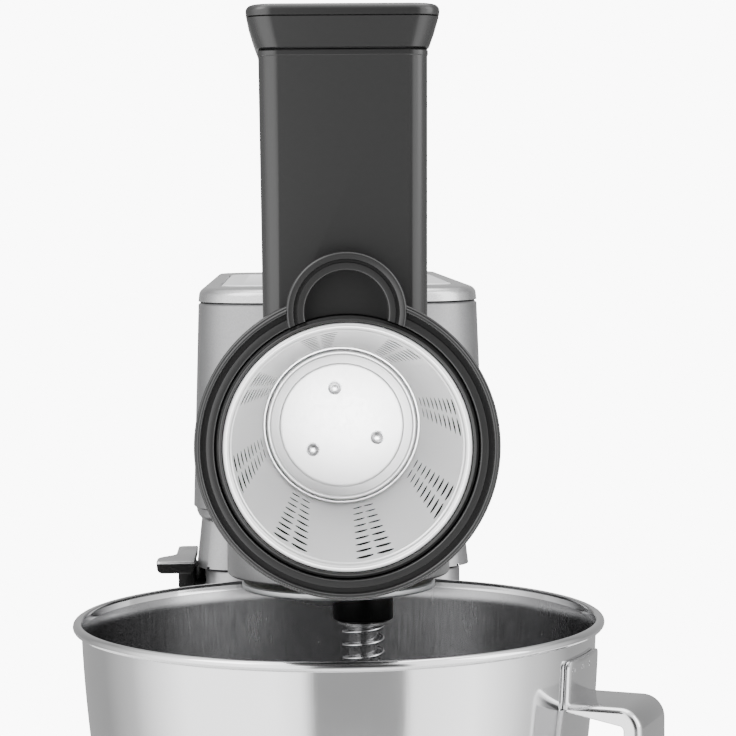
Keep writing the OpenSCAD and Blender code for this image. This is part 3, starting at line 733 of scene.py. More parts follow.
SATIN_SILVER = Finish("satin_silver", (0.27, 0.27, 0.274), 0.85, 0.36, 0.04, 2600, bump=0.06, coat=0.2,
    flake=2400)
BRIGHT_SILVER = Finish("bright_silver", (0.5, 0.5, 0.505), 0.9, 0.24, 0.04, 2600, bump=0.05, coat=0.3,
    flake=2600)
LID_SILVER = Finish("lid_silver", (0.48, 0.48, 0.485), 0.75, 0.3, 0.05, 1800, bump=0.05, coat=0.2, flake=2000)
MIRROR_STEEL = Finish("mirror_steel", (0.74, 0.74, 0.745), 1.0, 0.1, 0.03, 700, (1, 1, 0.04), 0.02, 0.02)
# Painted shade: a darker copy of the brushed steel for the bowl's inside, so the hollow looks shaded; the
# brushing itself is real.
BRUSHED_INSIDE_PAINTED_SHADE = Finish("brushed_inside_painted_shade", (0.33, 0.33, 0.335), 1.0, 0.24, 0.05, 1500, (1, 1, 0.02), 0.06, 0.03)
BRUSHED_STEEL = Finish("brushed_steel", (0.6, 0.6, 0.605), 1.0, 0.24, 0.06, 1500, (1, 1, 0.03), 0.08, 0.03)
STRAP_STEEL = Finish("strap_steel", (0.72, 0.72, 0.725), 1.0, 0.15, 0.04, 900, (0.2, 0.2, 1), 0.04, 0.02)
DRUM_STEEL = Finish("drum_steel", (0.86, 0.86, 0.865), 1.0, 0.22, 0.04, 800, (1, 0.1, 1), 0.03, 0.03)
PLATE_STEEL = Finish("plate_steel", (0.88, 0.88, 0.885), 1.0, 0.36, 0.04, 900, bump=0.04, mottle=0.03)
# Painted shade: near-black metal on the slits' walls, standing in for the shade inside the slits.
SLIT_PAINTED_SHADE = Finish("slit_painted_shade", (0.02, 0.02, 0.02), 1.0, 0.5, 0.08, 1500, bump=0.1, mottle=0.2)
TURNED_STEEL = Finish("turned_steel", (0.55, 0.55, 0.56), 1.0, 0.22, 0.06, 1600, (1, 1, 4), 0.08, 0.04)
DARK_STEEL = Finish("dark_steel", (0.28, 0.28, 0.29), 1.0, 0.36, 0.08, 1200, bump=0.12, mottle=0.08)
SPRING_STEEL = Finish("spring_wire", (0.5, 0.5, 0.51), 1.0, 0.25, 0.05, 1600, bump=0.05)
CAST_ALLOY = Finish("cast_alloy", (0.2, 0.2, 0.205), 0.95, 0.42, 0.08, 1400, bump=0.2, mottle=0.08)
GLOSS_BLACK = Finish("gloss_black", (0.0006, 0.0006, 0.0006), 0.0, 0.13, 0.03, 2400, bump=0.015, specular=0.09)
SATIN_BLACK = Finish("satin_black", (0.001, 0.001, 0.001), 0.0, 0.32, 0.05, 2600, bump=0.08, mottle=0.06,
    specular=0.14)
DEEP_BLACK = Finish("deep_black", (0.0006, 0.0006, 0.0006), 0.0, 0.42, 0.05, 2600, bump=0.1, mottle=0.08,
    specular=0.1)
RUBBER = Finish("rubber", (0.02, 0.02, 0.02), 0.0, 0.7, 0.08, 1500, bump=0.25, mottle=0.1)
BELT = Finish("belt_rubber", (0.018, 0.018, 0.018), 0.0, 0.6, 0.08, 1100, (1, 6, 1), 0.3, 0.1)
NYLON = Finish("nylon", (0.75, 0.71, 0.6), 0.0, 0.45, 0.06, 1300, bump=0.1)
LAMINATED = Finish("laminations", (0.2, 0.2, 0.21), 0.9, 0.45, 0.1, 1600, (0.05, 1, 0.05), 0.5, 0.1)
COPPER = Finish("copper_winding", (0.62, 0.3, 0.16), 1.0, 0.34, 0.1, 1400, (0.1, 1, 0.1), 0.5, 0.1)
BOARD = Finish("circuit_board", (0.02, 0.17, 0.07), 0.0, 0.4, 0.08, 420, bump=0.3, mottle=0.2, coat=0.3)


@dataclass
class Assembly:
    """Pieces that ride on the frame.

    Attributes:
        tools: The modelling tools.
        made: The names of the pieces so far.
    """

    tools: type[Modeller] = Modeller
    made: list[str] = field(default_factory=list)

    def place(
        self, obj: bpy.types.Object, body: str, finish: Finish, slot: str, replaces: Sequence[str] = ()
    ) -> bpy.types.Object:
        """Dresses a piece and puts it on its body.

        Args:
            obj: The piece.
            body: The frame's body that it moves with.
            finish: Its finish.
            slot: The record's material slot; not used.
            replaces: The nodes that it stands for.

        Returns:
            The piece.
        """
        finish.dress(obj)
        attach(obj, body)
        if replaces:
            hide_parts(*replaces)
        self.made.append(obj.name)
        LOG.info("%s: %d faces", obj.name, len(obj.data.polygons))
        return obj


# ---- Assemblies ----


@dataclass
class BowlSet(Assembly):
    """The steel bowl and its strap handle.

    Attributes:
        wall: The sheet's thickness.
        bead: The rolled rim's radius.
        floor_radius: The radius of the flat floor.
        lean: How far the wall stands inside the rim.
        handle_angle: The handle's direction from +X, in degrees.
        strap_width: The handle's width.
        strap: The handle's thickness.
        reach: How far the handle stands out from the rim.
        corner: The handle's outer corner radius.
        tab_height: The height of the welded tabs.
        tab_gap: The space between a tab and the wall.
        handle_top: How far the handle's top is below the rim.
        handle_bottom: How far its bottom is below the rim.
        flange: The depth of the channel's two sides.
        fold: The outer radius of the channel's folds.
        base: The floor's height, from the frame.
        height: The bowl's height, from the frame.
        lip: The rim's height, from the frame.
        rim: The rim's radius, from the frame.
        top: The wall's radius at the rim.
    """

    wall: float = 1.2 * MM
    bead: float = 2.0 * MM
    floor_radius: float = 67 * MM
    lean: float = 3.5 * MM
    handle_angle: float = -25.0
    strap_width: float = 36 * MM
    strap: float = 2.0 * MM
    reach: float = 25.5 * MM
    corner: float = 9 * MM
    tab_height: float = 19 * MM
    tab_gap: float = 0.15 * MM
    handle_top: float = 27 * MM
    handle_bottom: float = 118 * MM
    flange: float = 7 * MM
    fold: float = 3 * MM
    base: float = field(init=False)
    height: float = field(init=False)
    lip: float = field(init=False)
    rim: float = field(init=False)
    top: float = field(init=False)

    def __post_init__(self) -> None:
        """Reads the bowl's box."""
        span = Span.of("bowl")
        self.base, self.height, self.lip, self.rim = span.low.z, span.size.z, span.high.z, span.high.x
        self.top = self.rim - self.lean

    def wall_radius(self, share: float) -> float:
        """The outer radius of the bowl at a share of its height.

        Args:
            share: 0 at the floor and 1 at the rim.

        Returns:
            The radius.
        """
        return self.floor_radius + (self.top - self.floor_radius) * (1 - (1 - share) ** 1.6) ** 0.52

    def radius_at(self, z: float) -> float:
        """The outer radius of the bowl at a height."""
        return self.wall_radius((z - self.base) / self.height)

    def build(self) -> None:
        """Builds the bowl, its handle and their finishes."""
        shares = [(i / 44) ** 1.6 for i in range(45)]
        limit = 1 - (self.bead + 1.4 * MM) / self.height
        wall = [(self.wall_radius(s * limit), self.base + s * limit * self.height) for s in shares]
        roll = arc((self.rim - self.bead, self.lip - self.bead), self.bead, -140, 185, 14)
        lining = [
            (radius - self.wall, z + self.wall * (1 - s) ** 2)
            for (radius, z), s in zip(reversed(wall), reversed(shares), strict=True)
        ]
        profile = [(0.0, self.base), *wall, *roll, *lining, (0.0, self.base + self.wall)]
        bowl = self.tools.turn("mixing_bowl", profile, Axis.Z, steps=160)
        self.place(bowl, "bowl", MIRROR_STEEL, "bowl_steel", ["bowl"])
        # Painted shade: the bowl's inside walls and floor take the darker brushed copy.
        edge = self.rim - 4.6 * MM
        BRUSHED_INSIDE_PAINTED_SHADE.line(bowl, lambda c, n: c.xy.length < edge and (n.xy.dot(c.xy) < 0 or n.z > 0.5))
        self.handle()

    def strap_section(self, x: float, z: float) -> list[Point]:
        """The handle's channel section, standing across X.

        Args:
            x: Where it stands.
            z: The height of its outer face.

        Returns:
            The outline.
        """
        half, t, fold = self.strap_width / 2, self.strap, self.fold
        low = z - self.flange
        left, right = (-half + fold, z - fold), (half - fold, z - fold)
        flat = [(-half, low), *arc(left, fold, 180, 90, 4), *arc(right, fold, 90, 0, 4), (half, low)]
        flat += [(half - t, low), *arc(right, fold - t, 0, 90, 3), *arc(left, fold - t, 90, 180, 3)]
        flat += [(-half + t, low)]
        return [(x, y, height) for y, height in flat]

    def handle(self) -> None:
        """Builds the strap, its two tabs and their spot welds."""
        high = self.base + self.height - self.handle_top
        low = self.base + self.height - self.handle_bottom
        inset = self.corner
        bend = self.rim + self.reach - inset
        start, foot = self.radius_at(high) - 0.4 * MM, self.radius_at(low) - 0.4 * MM
        strap = self.tools.trace("bowl_handle_strap", self.strap_section(start, high), closed=True)
        bpy.ops.mesh.extrude_region_move(TRANSFORM_OT_translate={"value": (bend - start, 0, 0)})
        bpy.ops.mesh.spin(steps=10, angle=-math.pi / 2, center=(bend, 0, high - inset), axis=(0, 1, 0))
        bpy.ops.mesh.extrude_region_move(TRANSFORM_OT_translate={"value": (0, 0, low - high + 2 * inset)})
        bpy.ops.mesh.spin(steps=10, angle=-math.pi / 2, center=(bend, 0, low + inset), axis=(0, 1, 0))
        bpy.ops.mesh.extrude_region_move(TRANSFORM_OT_translate={"value": (foot - bend, 0, 0)})
        self.tools.tidy(strap)
        for end, edge, side in ((start, high, -1), (foot, low, 1)):
            near, far = sorted((edge + side * 6 * MM, edge + side * 8 * MM))
            self.tools.choose(strap, Kind.VERTICES, lambda v: v.x < end + MM and near < v.z < far)
            bpy.ops.transform.translate(value=(0, 0, -side * 4 * MM))
            self.tools.done()
        pieces = [strap]
        for name, low_edge in (("upper", high - self.strap), ("lower", low - self.tab_height + self.strap)):
            pieces.append(self.tab(name, low_edge))
        handle = self.tools.join(pieces, "bowl_handle_strap")
        self.tools.soften(handle, 0.45 * MM, 2, 50)
        self.tools.rotate(handle, self.handle_angle, "Z", (0, 0, 0))
        self.place(handle, "bowl", STRAP_STEEL, "handle_steel", ["bowl_handle"])
        self.welds(high)

    def tab(self, name: str, low_edge: float) -> bpy.types.Object:
        """Bends a tab around the bowl's wall.

        Args:
            name: Which tab it is.
            low_edge: The height of its lower edge.

        Returns:
            The tab, centred on +X.
        """
        heights = [low_edge + self.tab_height * i / 6 for i in range(7)]
        line = [(self.radius_at(z) + self.tab_gap, 0, z) for z in heights]
        span = self.strap_width / line[0][0]
        tab = self.tools.trace(f"handle_tab_{name}", line)
        bpy.ops.mesh.select_all(action="SELECT")
        bpy.ops.transform.rotate(value=span / 2, orient_axis="Z", center_override=(0, 0, 0))
        bpy.ops.mesh.spin(steps=14, angle=-span, center=(0, 0, 0), axis=(0, 0, 1))
        self.tools.tidy(tab)
        edge = low_edge + self.tab_height if name == "upper" else low_edge
        half = self.strap_width / 2
        self.tools.choose(
            tab, Kind.VERTICES, lambda v: abs(v.z - edge) < 0.2 * MM and abs(abs(v.y) - half) < 1.5 * MM
        )
        bpy.ops.mesh.bevel(offset=3.2 * MM, segments=4, affect="VERTICES")
        self.tools.done()
        self.tools.pick(tab)
        thick = tab.modifiers.new("sheet", "SOLIDIFY")
        thick.thickness = self.strap
        thick.offset = 1.0
        bpy.ops.object.modifier_apply(modifier=thick.name)
        return tab

    def welds(self, high: float) -> None:
        """Presses three spot welds into the upper tab.

        Args:
            high: The handle's top.
        """
        z = high + 13.2 * MM
        radius = self.radius_at(z) + self.strap + self.tab_gap
        dots = []
        for index, turn in enumerate((-7.6, -3.0, 1.6)):
            dot = self.tools.rod(f"weld_{index}", (radius, 0, z), 1.1 * MM, 0.24 * MM, "X", 20)
            self.tools.choose(dot, Kind.FACES, lambda c: c.x > radius + 0.1 * MM)
            bpy.ops.mesh.inset(thickness=0.4 * MM, depth=-0.12 * MM)
            self.tools.done()
            self.tools.rotate(dot, turn, "Z", (0, 0, 0))
            dots.append(dot)
        welds = self.tools.join(dots, "handle_spot_welds")
        self.tools.rotate(welds, self.handle_angle, "Z", (0, 0, 0))
        self.tools.tidy(welds)
        self.place(welds, "bowl", BRUSHED_STEEL, "handle_steel")


@dataclass
class HeadSet(Assembly):
    """The tilting head: shell, top cover, lid, pan and hub housing.

    Attributes:
        bow: The nose's depth, seen from above.
        power: How square the nose is.
        wall: The shell's wall.
        lid_round: The lid's corner radius.
        gap: The line between the lid and its cover.
        corner: The rear corners' radius.
        flank: How far the pan's underside is below the cover's seam.
        hood_floor: The height of the hood's lower edge.
        hood_slot: The lowest and highest Z of the slot inside the hood.
        cheek: How far the hinge barrel's ends stand inside the hood's sides.
        hub_radius: The radius of the hub housing.
        shell_box: The shell's box, from the frame.
        cover_box: The top cover's box, from the frame.
        pan_box: The box of the pan and its hub, from the frame.
        pin: The middle of the hinge pin, from the frame.
        half: The half width at the bottom seam.
        front: The nose's Y.
        rear: The rear's Y.
    """

    bow: float = 35 * MM
    power: float = 2.6
    wall: float = 3.0 * MM
    lid_round: float = 10 * MM
    gap: float = 0.6 * MM
    corner: float = 18 * MM
    flank: float = 0.0865
    hood_floor: float = 0.208
    hood_slot: Pair = (0.14, 0.209)
    cheek: float = 2.1 * MM
    hub_radius: float = 46 * MM
    shell_box: Span = field(init=False)
    cover_box: Span = field(init=False)
    pan_box: Span = field(init=False)
    pin: Vector = field(init=False)
    half: float = field(init=False)
    front: float = field(init=False)
    rear: float = field(init=False)

    def __post_init__(self) -> None:
        """Reads the boxes that the head's pieces share."""
        self.shell_box, self.cover_box = Span.of("head_shell"), Span.of("head_top_cover")
        self.pan_box, self.pin = Span.of("head_belly"), Span.of("hinge_pin").middle
        self.half = self.pan_box.high.x + 1 * MM
        self.front, self.rear = self.pan_box.low.y - 1 * MM, self.shell_box.high.y

    def outline(self, half: float, front: float, rear: float) -> list[Pair]:
        """The head seen from above.

        Args:
            half: Its half width.
            front: The nose's Y.
            rear: The rear's Y.

        Returns:
            The outline.
        """
        nose = []
        for i in range(49):
            a = math.pi + math.pi * i / 48
            x = half * signed_power(math.cos(a), 2 / self.power)
            nose.append((x, front + self.bow + self.bow * signed_power(math.sin(a), 2 / self.power)))
        corner = self.corner
        right = arc((half - corner, rear - corner), corner, 0, 90, 8)
        left = arc((-half + corner, rear - corner), corner, 90, 180, 8)
        return nose + right + left

    def build(self) -> None:
        """Builds the head's outside."""
        self.shell()
        self.cover(self.cover_box, Span.of("port_lid"))
        self.pan(self.pan_box)

    def form(self, name: str, draw: float) -> bpy.types.Object:
        """Joins the head's body, hood and hinge barrel, all drawn in by a wall.

        Args:
            name: The object's name.
            draw: How far it is drawn in.

        Returns:
            The solid.
        """
        half, seam, pin, rear = self.half, self.pan_box.high.z, self.pin, self.rear
        top = self.cover_box.low.z
        middle, depth = (self.front + rear) / 2, (rear - self.front) / 2
        drop = half - self.cover_box.high.x
        low, high = (seam, top) if not draw else (seam - 2 * MM, top + 1 * MM)
        edge = 0.7 * MM
        levels = [(low, draw + edge), (low + edge, draw), (high - edge, draw + drop), (high,
            draw + drop + edge)]
        outline = self.outline(half, self.front, rear)
        body = self.tools.raise_plan(name, outline, levels, (half, depth), (0, middle))
        hood_half, hood_front = self.shell_box.high.x, Span.of("column_housing").low.y - 1.5 * MM
        plan = rounded((-hood_half, hood_front), (hood_half, rear), self.corner)
        start = self.hood_floor - (1 * MM if draw else 0.0)
        hood = self.tools.raise_plan(
            name + "_hood",
            plan,
            [(start, draw), (seam + 1 * MM + draw, draw + hood_half - half)],
            (hood_half, (rear - hood_front) / 2),
            (0, (rear + hood_front) / 2),
        )
        length = 2 * (hood_half - self.cheek - draw)
        barrel = self.tools.rod(name + "_barrel", tuple(pin), rear - pin.y - draw, length, "X", 96)
        self.tools.combine(body, hood, "UNION")
        self.tools.combine(body, barrel, "UNION")
        return body

    def shell(self) -> None:
        """Builds the hollow shell."""
        pin, rear, past = self.pin, self.rear, 20 * MM
        body = self.form("head_housing", 0.0)
        self.tools.combine(body, self.form("head_room", self.wall))
        corner = self.tools.block(
            "rear_corner", (-PAST, pin.y, self.shell_box.low.z - past), (PAST, rear + past, pin.z)
        )
        barrel = self.tools.rod("corner_barrel", tuple(pin), rear - pin.y, THROUGH, "X", 96)
        self.tools.combine(corner, barrel)
        self.tools.combine(body, corner)
        side = self.shell_box.high.x - self.cheek - self.wall
        low, high = self.hood_slot
        slot = self.tools.block(
            "hood_slot", (-side, Span.of("column_housing").low.y + 3 * MM, low), (side, pin.y - 3 * MM, high)
        )
        self.tools.combine(body, slot)
        hub = Span.of("hub_ring")
        place = (0, hub.low.y + past, hub.middle.z)
        self.tools.combine(body, self.tools.rod("hub_hole", place, hub.size.x / 2 + 0.3 * MM, 60 * MM, "Y"))
        self.tools.tidy(body, 28)
        self.place(body, "head", SATIN_SILVER, "body_silver", ["head_shell"])

    def cover(self, cover: Span, lid: Span) -> None:
        """Builds the top cover with its pocket, and the lid in it.

        Args:
            cover: The cover's box.
            lid: The lid's box.
        """
        half, front, rear = cover.high.x, cover.low.y, cover.high.y
        low, high = cover.low.z, cover.high.z
        soft = 3.2 * MM
        levels = [(low + 0.25 * MM, 0.8 * MM), (low + 0.6 * MM, 0.0), (high - soft, 0.2 * MM)]
        levels += eased(high, soft, 0.2 * MM, (15, 30, 45, 60, 75, 90))
        size = ((rear - front) / 2, (rear + front) / 2)
        top = self.tools.raise_plan(
            "head_cover", self.outline(half, front, rear), levels, (half, size[0]), (0, size[1])
        )
        lid_half, lid_depth = lid.size.x / 2 + self.gap, lid.size.y / 2 + self.gap
        middle = lid.middle
        plan = rounded((-lid_half, middle.y - lid_depth), (lid_half, middle.y + lid_depth), self.lid_round)
        floor = high - 2.6 * MM
        pocket = self.tools.raise_plan(
            "lid_pocket", plan, [(floor, 0), (high + 0.01, 0)], (lid_half, lid_depth), (0, middle.y)
        )
        self.tools.combine(top, pocket)
        self.tools.tidy(top, 30)
        self.place(top, "head", BRIGHT_SILVER, "cover_silver", ["head_top_cover"])
        lid_half, lid_depth = lid.size.x / 2, lid.size.y / 2
        plan = rounded((-lid_half, middle.y - lid_depth), (lid_half, middle.y + lid_depth),
            self.lid_round - self.gap)
        edge = 1.1 * MM
        levels = [(floor + 0.1 * MM, 0), (lid.high.z - edge, 0)]
        levels += eased(lid.high.z, edge, 0.0, (30, 60, 90))
        plate = self.tools.raise_plan("port_lid_plate", plan, levels, (lid_half, lid_depth), (0, middle.y))
        self.tools.choose(plate, Kind.FACES, lambda c: c.z > lid.high.z - 0.01 * MM)
        bpy.ops.mesh.inset(thickness=7 * MM)
        bpy.ops.mesh.inset(thickness=0.5 * MM, depth=-0.25 * MM)
        self.tools.done()
        self.place(plate, "lid", LID_SILVER, "lid_silver", ["port_lid"])

    def pan(self, pan: Span) -> None:
        """Builds the bottom pan and the hub housing under it.

        Args:
            pan: The box of the pan and its hub.
        """
        half, front, rear = self.half, self.front, self.rear
        low = self.cover_box.low.z - self.flank
        size = ((rear - front) / 2, (rear + front) / 2)
        edge, round_in = 1 * MM, 4.2 * MM
        drop = pan.high.z - low
        levels = [(low, edge + round_in)]
        levels += [
            (low + drop * (1 - math.cos(a)), edge + round_in * (1 - math.sin(a)))
            for a in (math.radians(degrees) for degrees in (18, 36, 54, 72, 90))
        ]
        outline = self.outline(half, front, rear)
        body = self.tools.raise_plan("head_pan", outline, levels, (half, size[0]), (0, size[1]))
        behind = self.tools.block("behind_pan", (-PAST, pan.high.y, 0.2), (PAST, 0.3, 0.3))
        self.tools.combine(body, behind)
        self.tools.tidy(body, 30)
        self.place(body, "head", SATIN_SILVER, "body_silver", ["head_belly"])
        base, radius = pan.low.z + 2.2 * MM, self.hub_radius
        mouth, core = 40.5 * MM, 20 * MM
        profile = [
            (mouth, base + 0.4 * MM),
            (mouth + 0.3 * MM, base),
            (radius - 1 * MM, base),
            *arc((radius - MM, base + MM), MM, -90, 0, 3),
            (radius, low - 3 * MM),
            *arc((radius + 3 * MM, low - 3 * MM), 3 * MM, 180, 90, 4),
            (radius + 3 * MM, low + 0.3 * MM),
            (core, low + 0.3 * MM),
            (core, base + 9 * MM),
            (mouth, base + 9 * MM),
            (mouth, base + 0.4 * MM),
        ]
        hub = self.tools.turn("hub_housing", profile, Axis.Z, steps=112)
        self.place(hub, "head", SATIN_SILVER, "body_silver")


@dataclass
class HubSet(Assembly):
    """What turns under the head: disc, boss, washer, spring and tool shaft.

    Attributes:
        boss_radius: The black boss's radius.
        wire: The spring wire's radius.
        coil: The spring's radius.
        turns: The spring's turns.
        groove: The width of the shaft's slot.
    """

    boss_radius: float = 12.3 * MM
    wire: float = 0.8 * MM
    coil: float = 8.0 * MM
    turns: int = 3
    groove: float = 2.4 * MM

    def build(self) -> None:
        """Builds the turning pieces."""
        disc, shaft, washer = Span.of("planet_carrier"), Span.of("tool_shaft"), Span.of("shaft_washer")
        spring = Span.of("tool_spring")
        radius, top = disc.high.x, disc.high.z
        base = disc.low.z + 4.5 * MM
        plate = self.tools.turn(
            "hub_disc",
            [(0.0, base), (radius - 25 * MM, base), (radius - 23.6 * MM, base + 0.8 * MM),
             (radius - 3.6 * MM, base + 6.0 * MM), (radius - 3.2 * MM, base + 6.4 * MM), *arc((radius - MM,
              top - 2 * MM), MM, -80, 0, 4),
             (radius, top - 0.6 * MM), (radius - 0.6 * MM, top), (0.0, top)],
            Axis.Z,
            steps=112,
        )
        self.tools.tidy(plate, 30)
        self.place(plate, "carrier", CAST_ALLOY, "cast_alloy", ["planet_carrier"])
        axis = (shaft.middle.x, shaft.middle.y, 0)
        boss_low = disc.low.z
        boss = self.tools.turn(
            "hub_boss",
            [(6.3 * MM, boss_low + 0.3 * MM), (self.boss_radius - 1 * MM, boss_low),
             *arc((self.boss_radius - MM, boss_low + MM), MM, -90, 0, 4), (self.boss_radius + 0.2 * MM,
              top - 1.2 * MM),
             (6.3 * MM, top - 1.2 * MM), (6.3 * MM, boss_low + 0.3 * MM)],
            Axis.Z,
            axis,
            64,
        )
        self.place(boss, "carrier", SATIN_BLACK, "black_plastic")
        self.shaft(shaft, axis)
        out = washer.size.x / 2
        ring = self.tools.turn(
            "spring_washer",
            [(6.1 * MM, washer.low.z), (out - 0.3 * MM, washer.low.z), (out, washer.low.z + 0.3 * MM),
             (out, washer.high.z - 0.3 * MM), (out - 0.3 * MM, washer.high.z), (6.1 * MM, washer.high.z),
             (6.1 * MM, washer.low.z)],
            Axis.Z,
            axis,
            64,
        )
        self.place(ring, "spindle", BRUSHED_STEEL, "handle_steel", ["shaft_washer"])
        self.spring(spring, axis)

    def shaft(self, shaft: Span, axis: Point) -> None:
        """Builds the tool shaft with its slot and clip groove.

        Args:
            shaft: The shaft's box.
            axis: A point on its axis.
        """
        r, low, high = shaft.size.x / 2, shaft.low.z, shaft.high.z
        clip = low + 34 * MM
        bar = self.tools.turn(
            "tool_spindle",
            [(0, low), (r - 1 * MM, low), (r, low + 1 * MM), (r, clip), (r - 0.6 * MM, clip),
             (r - 0.6 * MM, clip + 1.4 * MM), (r, clip + 1.4 * MM), (r, high - 0.4 * MM), (r - 0.4 * MM,
              high), (0, high)],
            Axis.Z,
            axis,
            64,
        )
        half = self.groove / 2
        slot = self.tools.block(
            "shaft_slot",
            (axis[0] - half, axis[1] - r - MM, clip + 3 * MM),
            (axis[0] + half, axis[1] - r + 1.3 * MM, clip + 18.6 * MM),
        )
        self.tools.combine(bar, slot)
        self.tools.tidy(bar, 30)
        self.place(bar, "spindle", BRUSHED_STEEL, "shaft_steel", ["tool_shaft"])

    def spring(self, spring: Span, axis: Point) -> None:
        """Winds the spring.

        Args:
            spring: The spring's box.
            axis: A point on its axis.
        """
        self.tools.trace(
            "coil_spring",
            [
                (self.coil + self.wire * math.cos(math.tau * i / 10), 0,
                 self.wire * math.sin(math.tau * i / 10))
                for i in range(10)
            ],
            closed=True,
        )
        self.tools.done()
        coil = bpy.context.active_object
        wound = coil.modifiers.new("wind", "SCREW")
        wound.angle = math.tau * self.turns
        wound.screw_offset = spring.size.z - 2 * self.wire
        wound.steps = wound.render_steps = 40 * self.turns
        bpy.ops.object.modifier_apply(modifier=wound.name)
        self.tools.move(coil, (axis[0], axis[1], spring.low.z + self.wire))
        self.tools.tidy(coil, 60)
        self.place(coil, "spindle", SPRING_STEEL, "spring_steel", ["tool_spring"])


@dataclass
class DrumSet(Assembly):
    """The shredding drum: cone, slits, end plate, rivets and collar.

    Attributes:
        sheet: The cone's thickness.
        groups: The number of slit groups.
        rows: The rows of slits in a group.
        slant: How far a slit leans from the drum's round, in degrees.
        first: The first group's angle in degrees.
    """

    sheet: float = 0.8 * MM
    groups: int = 8
    rows: int = 9
    slant: float = 22.0
    first: float = 14.0

    def build(self) -> None:
        """Builds the drum."""
        cone, end = Span.of("drum_cone"), Span.of("drum_end")
        axis = (0.0, 0.0, cone.middle.z)
        mouth, rim = cone.low.y, cone.high.x
        end_r = end.size.x / 2 - self.sheet
        back = end.high.y - 1 * MM
        self.cone(axis, mouth, rim, end_r, back)
        self.end_plate(axis, end_r, back)
        self.rivets(axis, back)
        collar = Span.of("drum_collar")
        inner, outer = rim + 0.05 * MM, collar.high.x
        low, high = collar.low.y, collar.high.y
        ring = self.tools.turn(
            "drum_collar_ring",
            [(inner, low + 0.8 * MM), *arc((inner + 0.8 * MM, low + 0.8 * MM), 0.8 * MM, 180, 270, 4),
             (inner + 1.3 * MM, low + 0.2 * MM), (inner + 1.5 * MM, low + 1.6 * MM), (outer, low + 1.8 * MM),
             (outer, high), (inner, high), (inner, low + 0.8 * MM)],
            Axis.Y,
            axis,
            128,
        )
        self.place(ring, "drum", GLOSS_BLACK, "black_plastic", ["drum_collar"])

    def cone(self, axis: Point, mouth: float, rim: float, end_r: float, back: float) -> None:
        """Builds the cone with its rolled rim and slits.

        Args:
            axis: A point on the drum's axis.
            mouth: The mouth's Y.
            rim: The rim's outer radius.
            end_r: The inner radius at the closed end.
            back: The closed end's Y.
        """
        roll, t = 1.25 * MM, self.sheet
        inner_r = rim - 3.0 * MM
        profile = [
            *arc((rim - roll, mouth + roll), roll, 20, -180, 10),
            (rim - 2 * roll, mouth + 2.2 * MM),
            (rim - 2 * roll - 0.1 * MM, mouth + 2.6 * MM),
            (rim - 2 * roll + 0.1 * MM, mouth + 3.1 * MM),
            (inner_r, mouth + 3.5 * MM),
            *[
                (inner_r + (end_r - inner_r) * i / 12, mouth + 3.5 * MM + (back - mouth - 4.0 * MM) * i / 12)
                for i in range(1, 13)
            ],
            (end_r + t, back - 0.5 * MM),
            (inner_r + t, mouth + 4.0 * MM),
            (rim, mouth + 3.6 * MM),
            (rim, mouth + roll),
        ]
        shell = self.tools.turn("shredder_drum", profile, Axis.Y, axis, 144, 40)
        cutters = []
        length = back - mouth
        lean = math.degrees(math.atan2(inner_r - end_r, length))
        for row in range(self.rows):
            share = 0.12 + 0.78 * row / (self.rows - 1)
            y = back - length * share
            radius = end_r + (inner_r - end_r) * share + t / 2
            long = (3.6 + 3.6 * share) * MM
            for side in (-1, 1):
                place = (radius, y, axis[2])
                slit = self.tools.rod(f"slit_{row}_{side}", place, long / 2, 7 * MM, "X", 10)
                self.tools.edit(slit)
                bpy.ops.transform.resize(value=(1, 0.46, 1), center_override=place)
                self.tools.rotate(slit, side * self.slant, "X", place)
                self.tools.rotate(slit, -lean, "Z", place)
                self.tools.move(slit, (0, 0, side * long * 0.53))
                cutters.append(slit)
        groups = [self.tools.join(cutters, "slit_group")]
        for index in range(1, self.groups):
            turned = self.tools.copy(groups[0], f"slit_group_{index}")
            self.tools.rotate(turned, index * 360 / self.groups, "Y", axis)
            groups.append(turned)
        cutter = self.tools.join(groups, "slit_cutters")
        self.tools.rotate(cutter, -self.first, "Y", axis)
        self.tools.combine(shell, cutter)
        self.tools.tidy(shell, 40)
        self.place(shell, "drum", DRUM_STEEL, "drum_steel", ["drum_cone"])
        # Painted shade: the slits' walls take the near-black finish so the slits look dark.
        ends, slope = (mouth + 4 * MM, back - 1 * MM), math.radians(lean)
        SLIT_PAINTED_SHADE.line(shell, lambda c, n: self.is_slit(c, n, axis[2], slope, ends))

    @staticmethod
    def is_slit(place: Vector, normal: Vector, height: float, slope: float, ends: Pair) -> bool:
        """Whether a face is the wall of a slit.

        Args:
            place: The face's middle.
            normal: Its normal.
            height: The height of the drum's axis.
            slope: The cone's slope in radians.
            ends: The cone's Y, between its rim and its closed end.

        Returns:
            True for a slit's wall.
        """
        out = Vector((place.x, 0, place.z - height)).normalized()
        across = out * math.cos(slope) + Vector((0, math.sin(slope), 0))
        return ends[0] < place.y < ends[1] and abs(normal.dot(across)) < 0.6

    def end_plate(self, axis: Point, end_r: float, back: float) -> None:
        """Builds the stamped end plate.

        Args:
            axis: A point on the drum's axis.
            end_r: The cone's inner radius at the closed end.
            back: The closed end's Y.
        """
        flat = end_r - 6.2 * MM
        bead = end_r - 2.0 * MM
        profile = [
            (0.0, back + 0.35 * MM),
            (flat - 0.8 * MM, back + 0.35 * MM),
            (flat - 0.2 * MM, back + 0.2 * MM),
            (flat + 0.3 * MM, back - 0.3 * MM),
            (bead - 1.5 * MM, back - 0.75 * MM),
            *arc((bead, back - 0.75 * MM), 0.9 * MM, 190, 350, 8),
            (end_r - 0.5 * MM, back + 0.1 * MM),
            (end_r, back + 0.1 * MM),
            (end_r + self.sheet, back - 0.2 * MM),
            (end_r + self.sheet, back + 1 * MM),
            (0.0, back + 1 * MM),
        ]
        plate = self.tools.turn("drum_end_plate", profile, Axis.Y, axis, 128, 30)
        self.place(plate, "drum", PLATE_STEEL, "drum_steel", ["drum_end"])

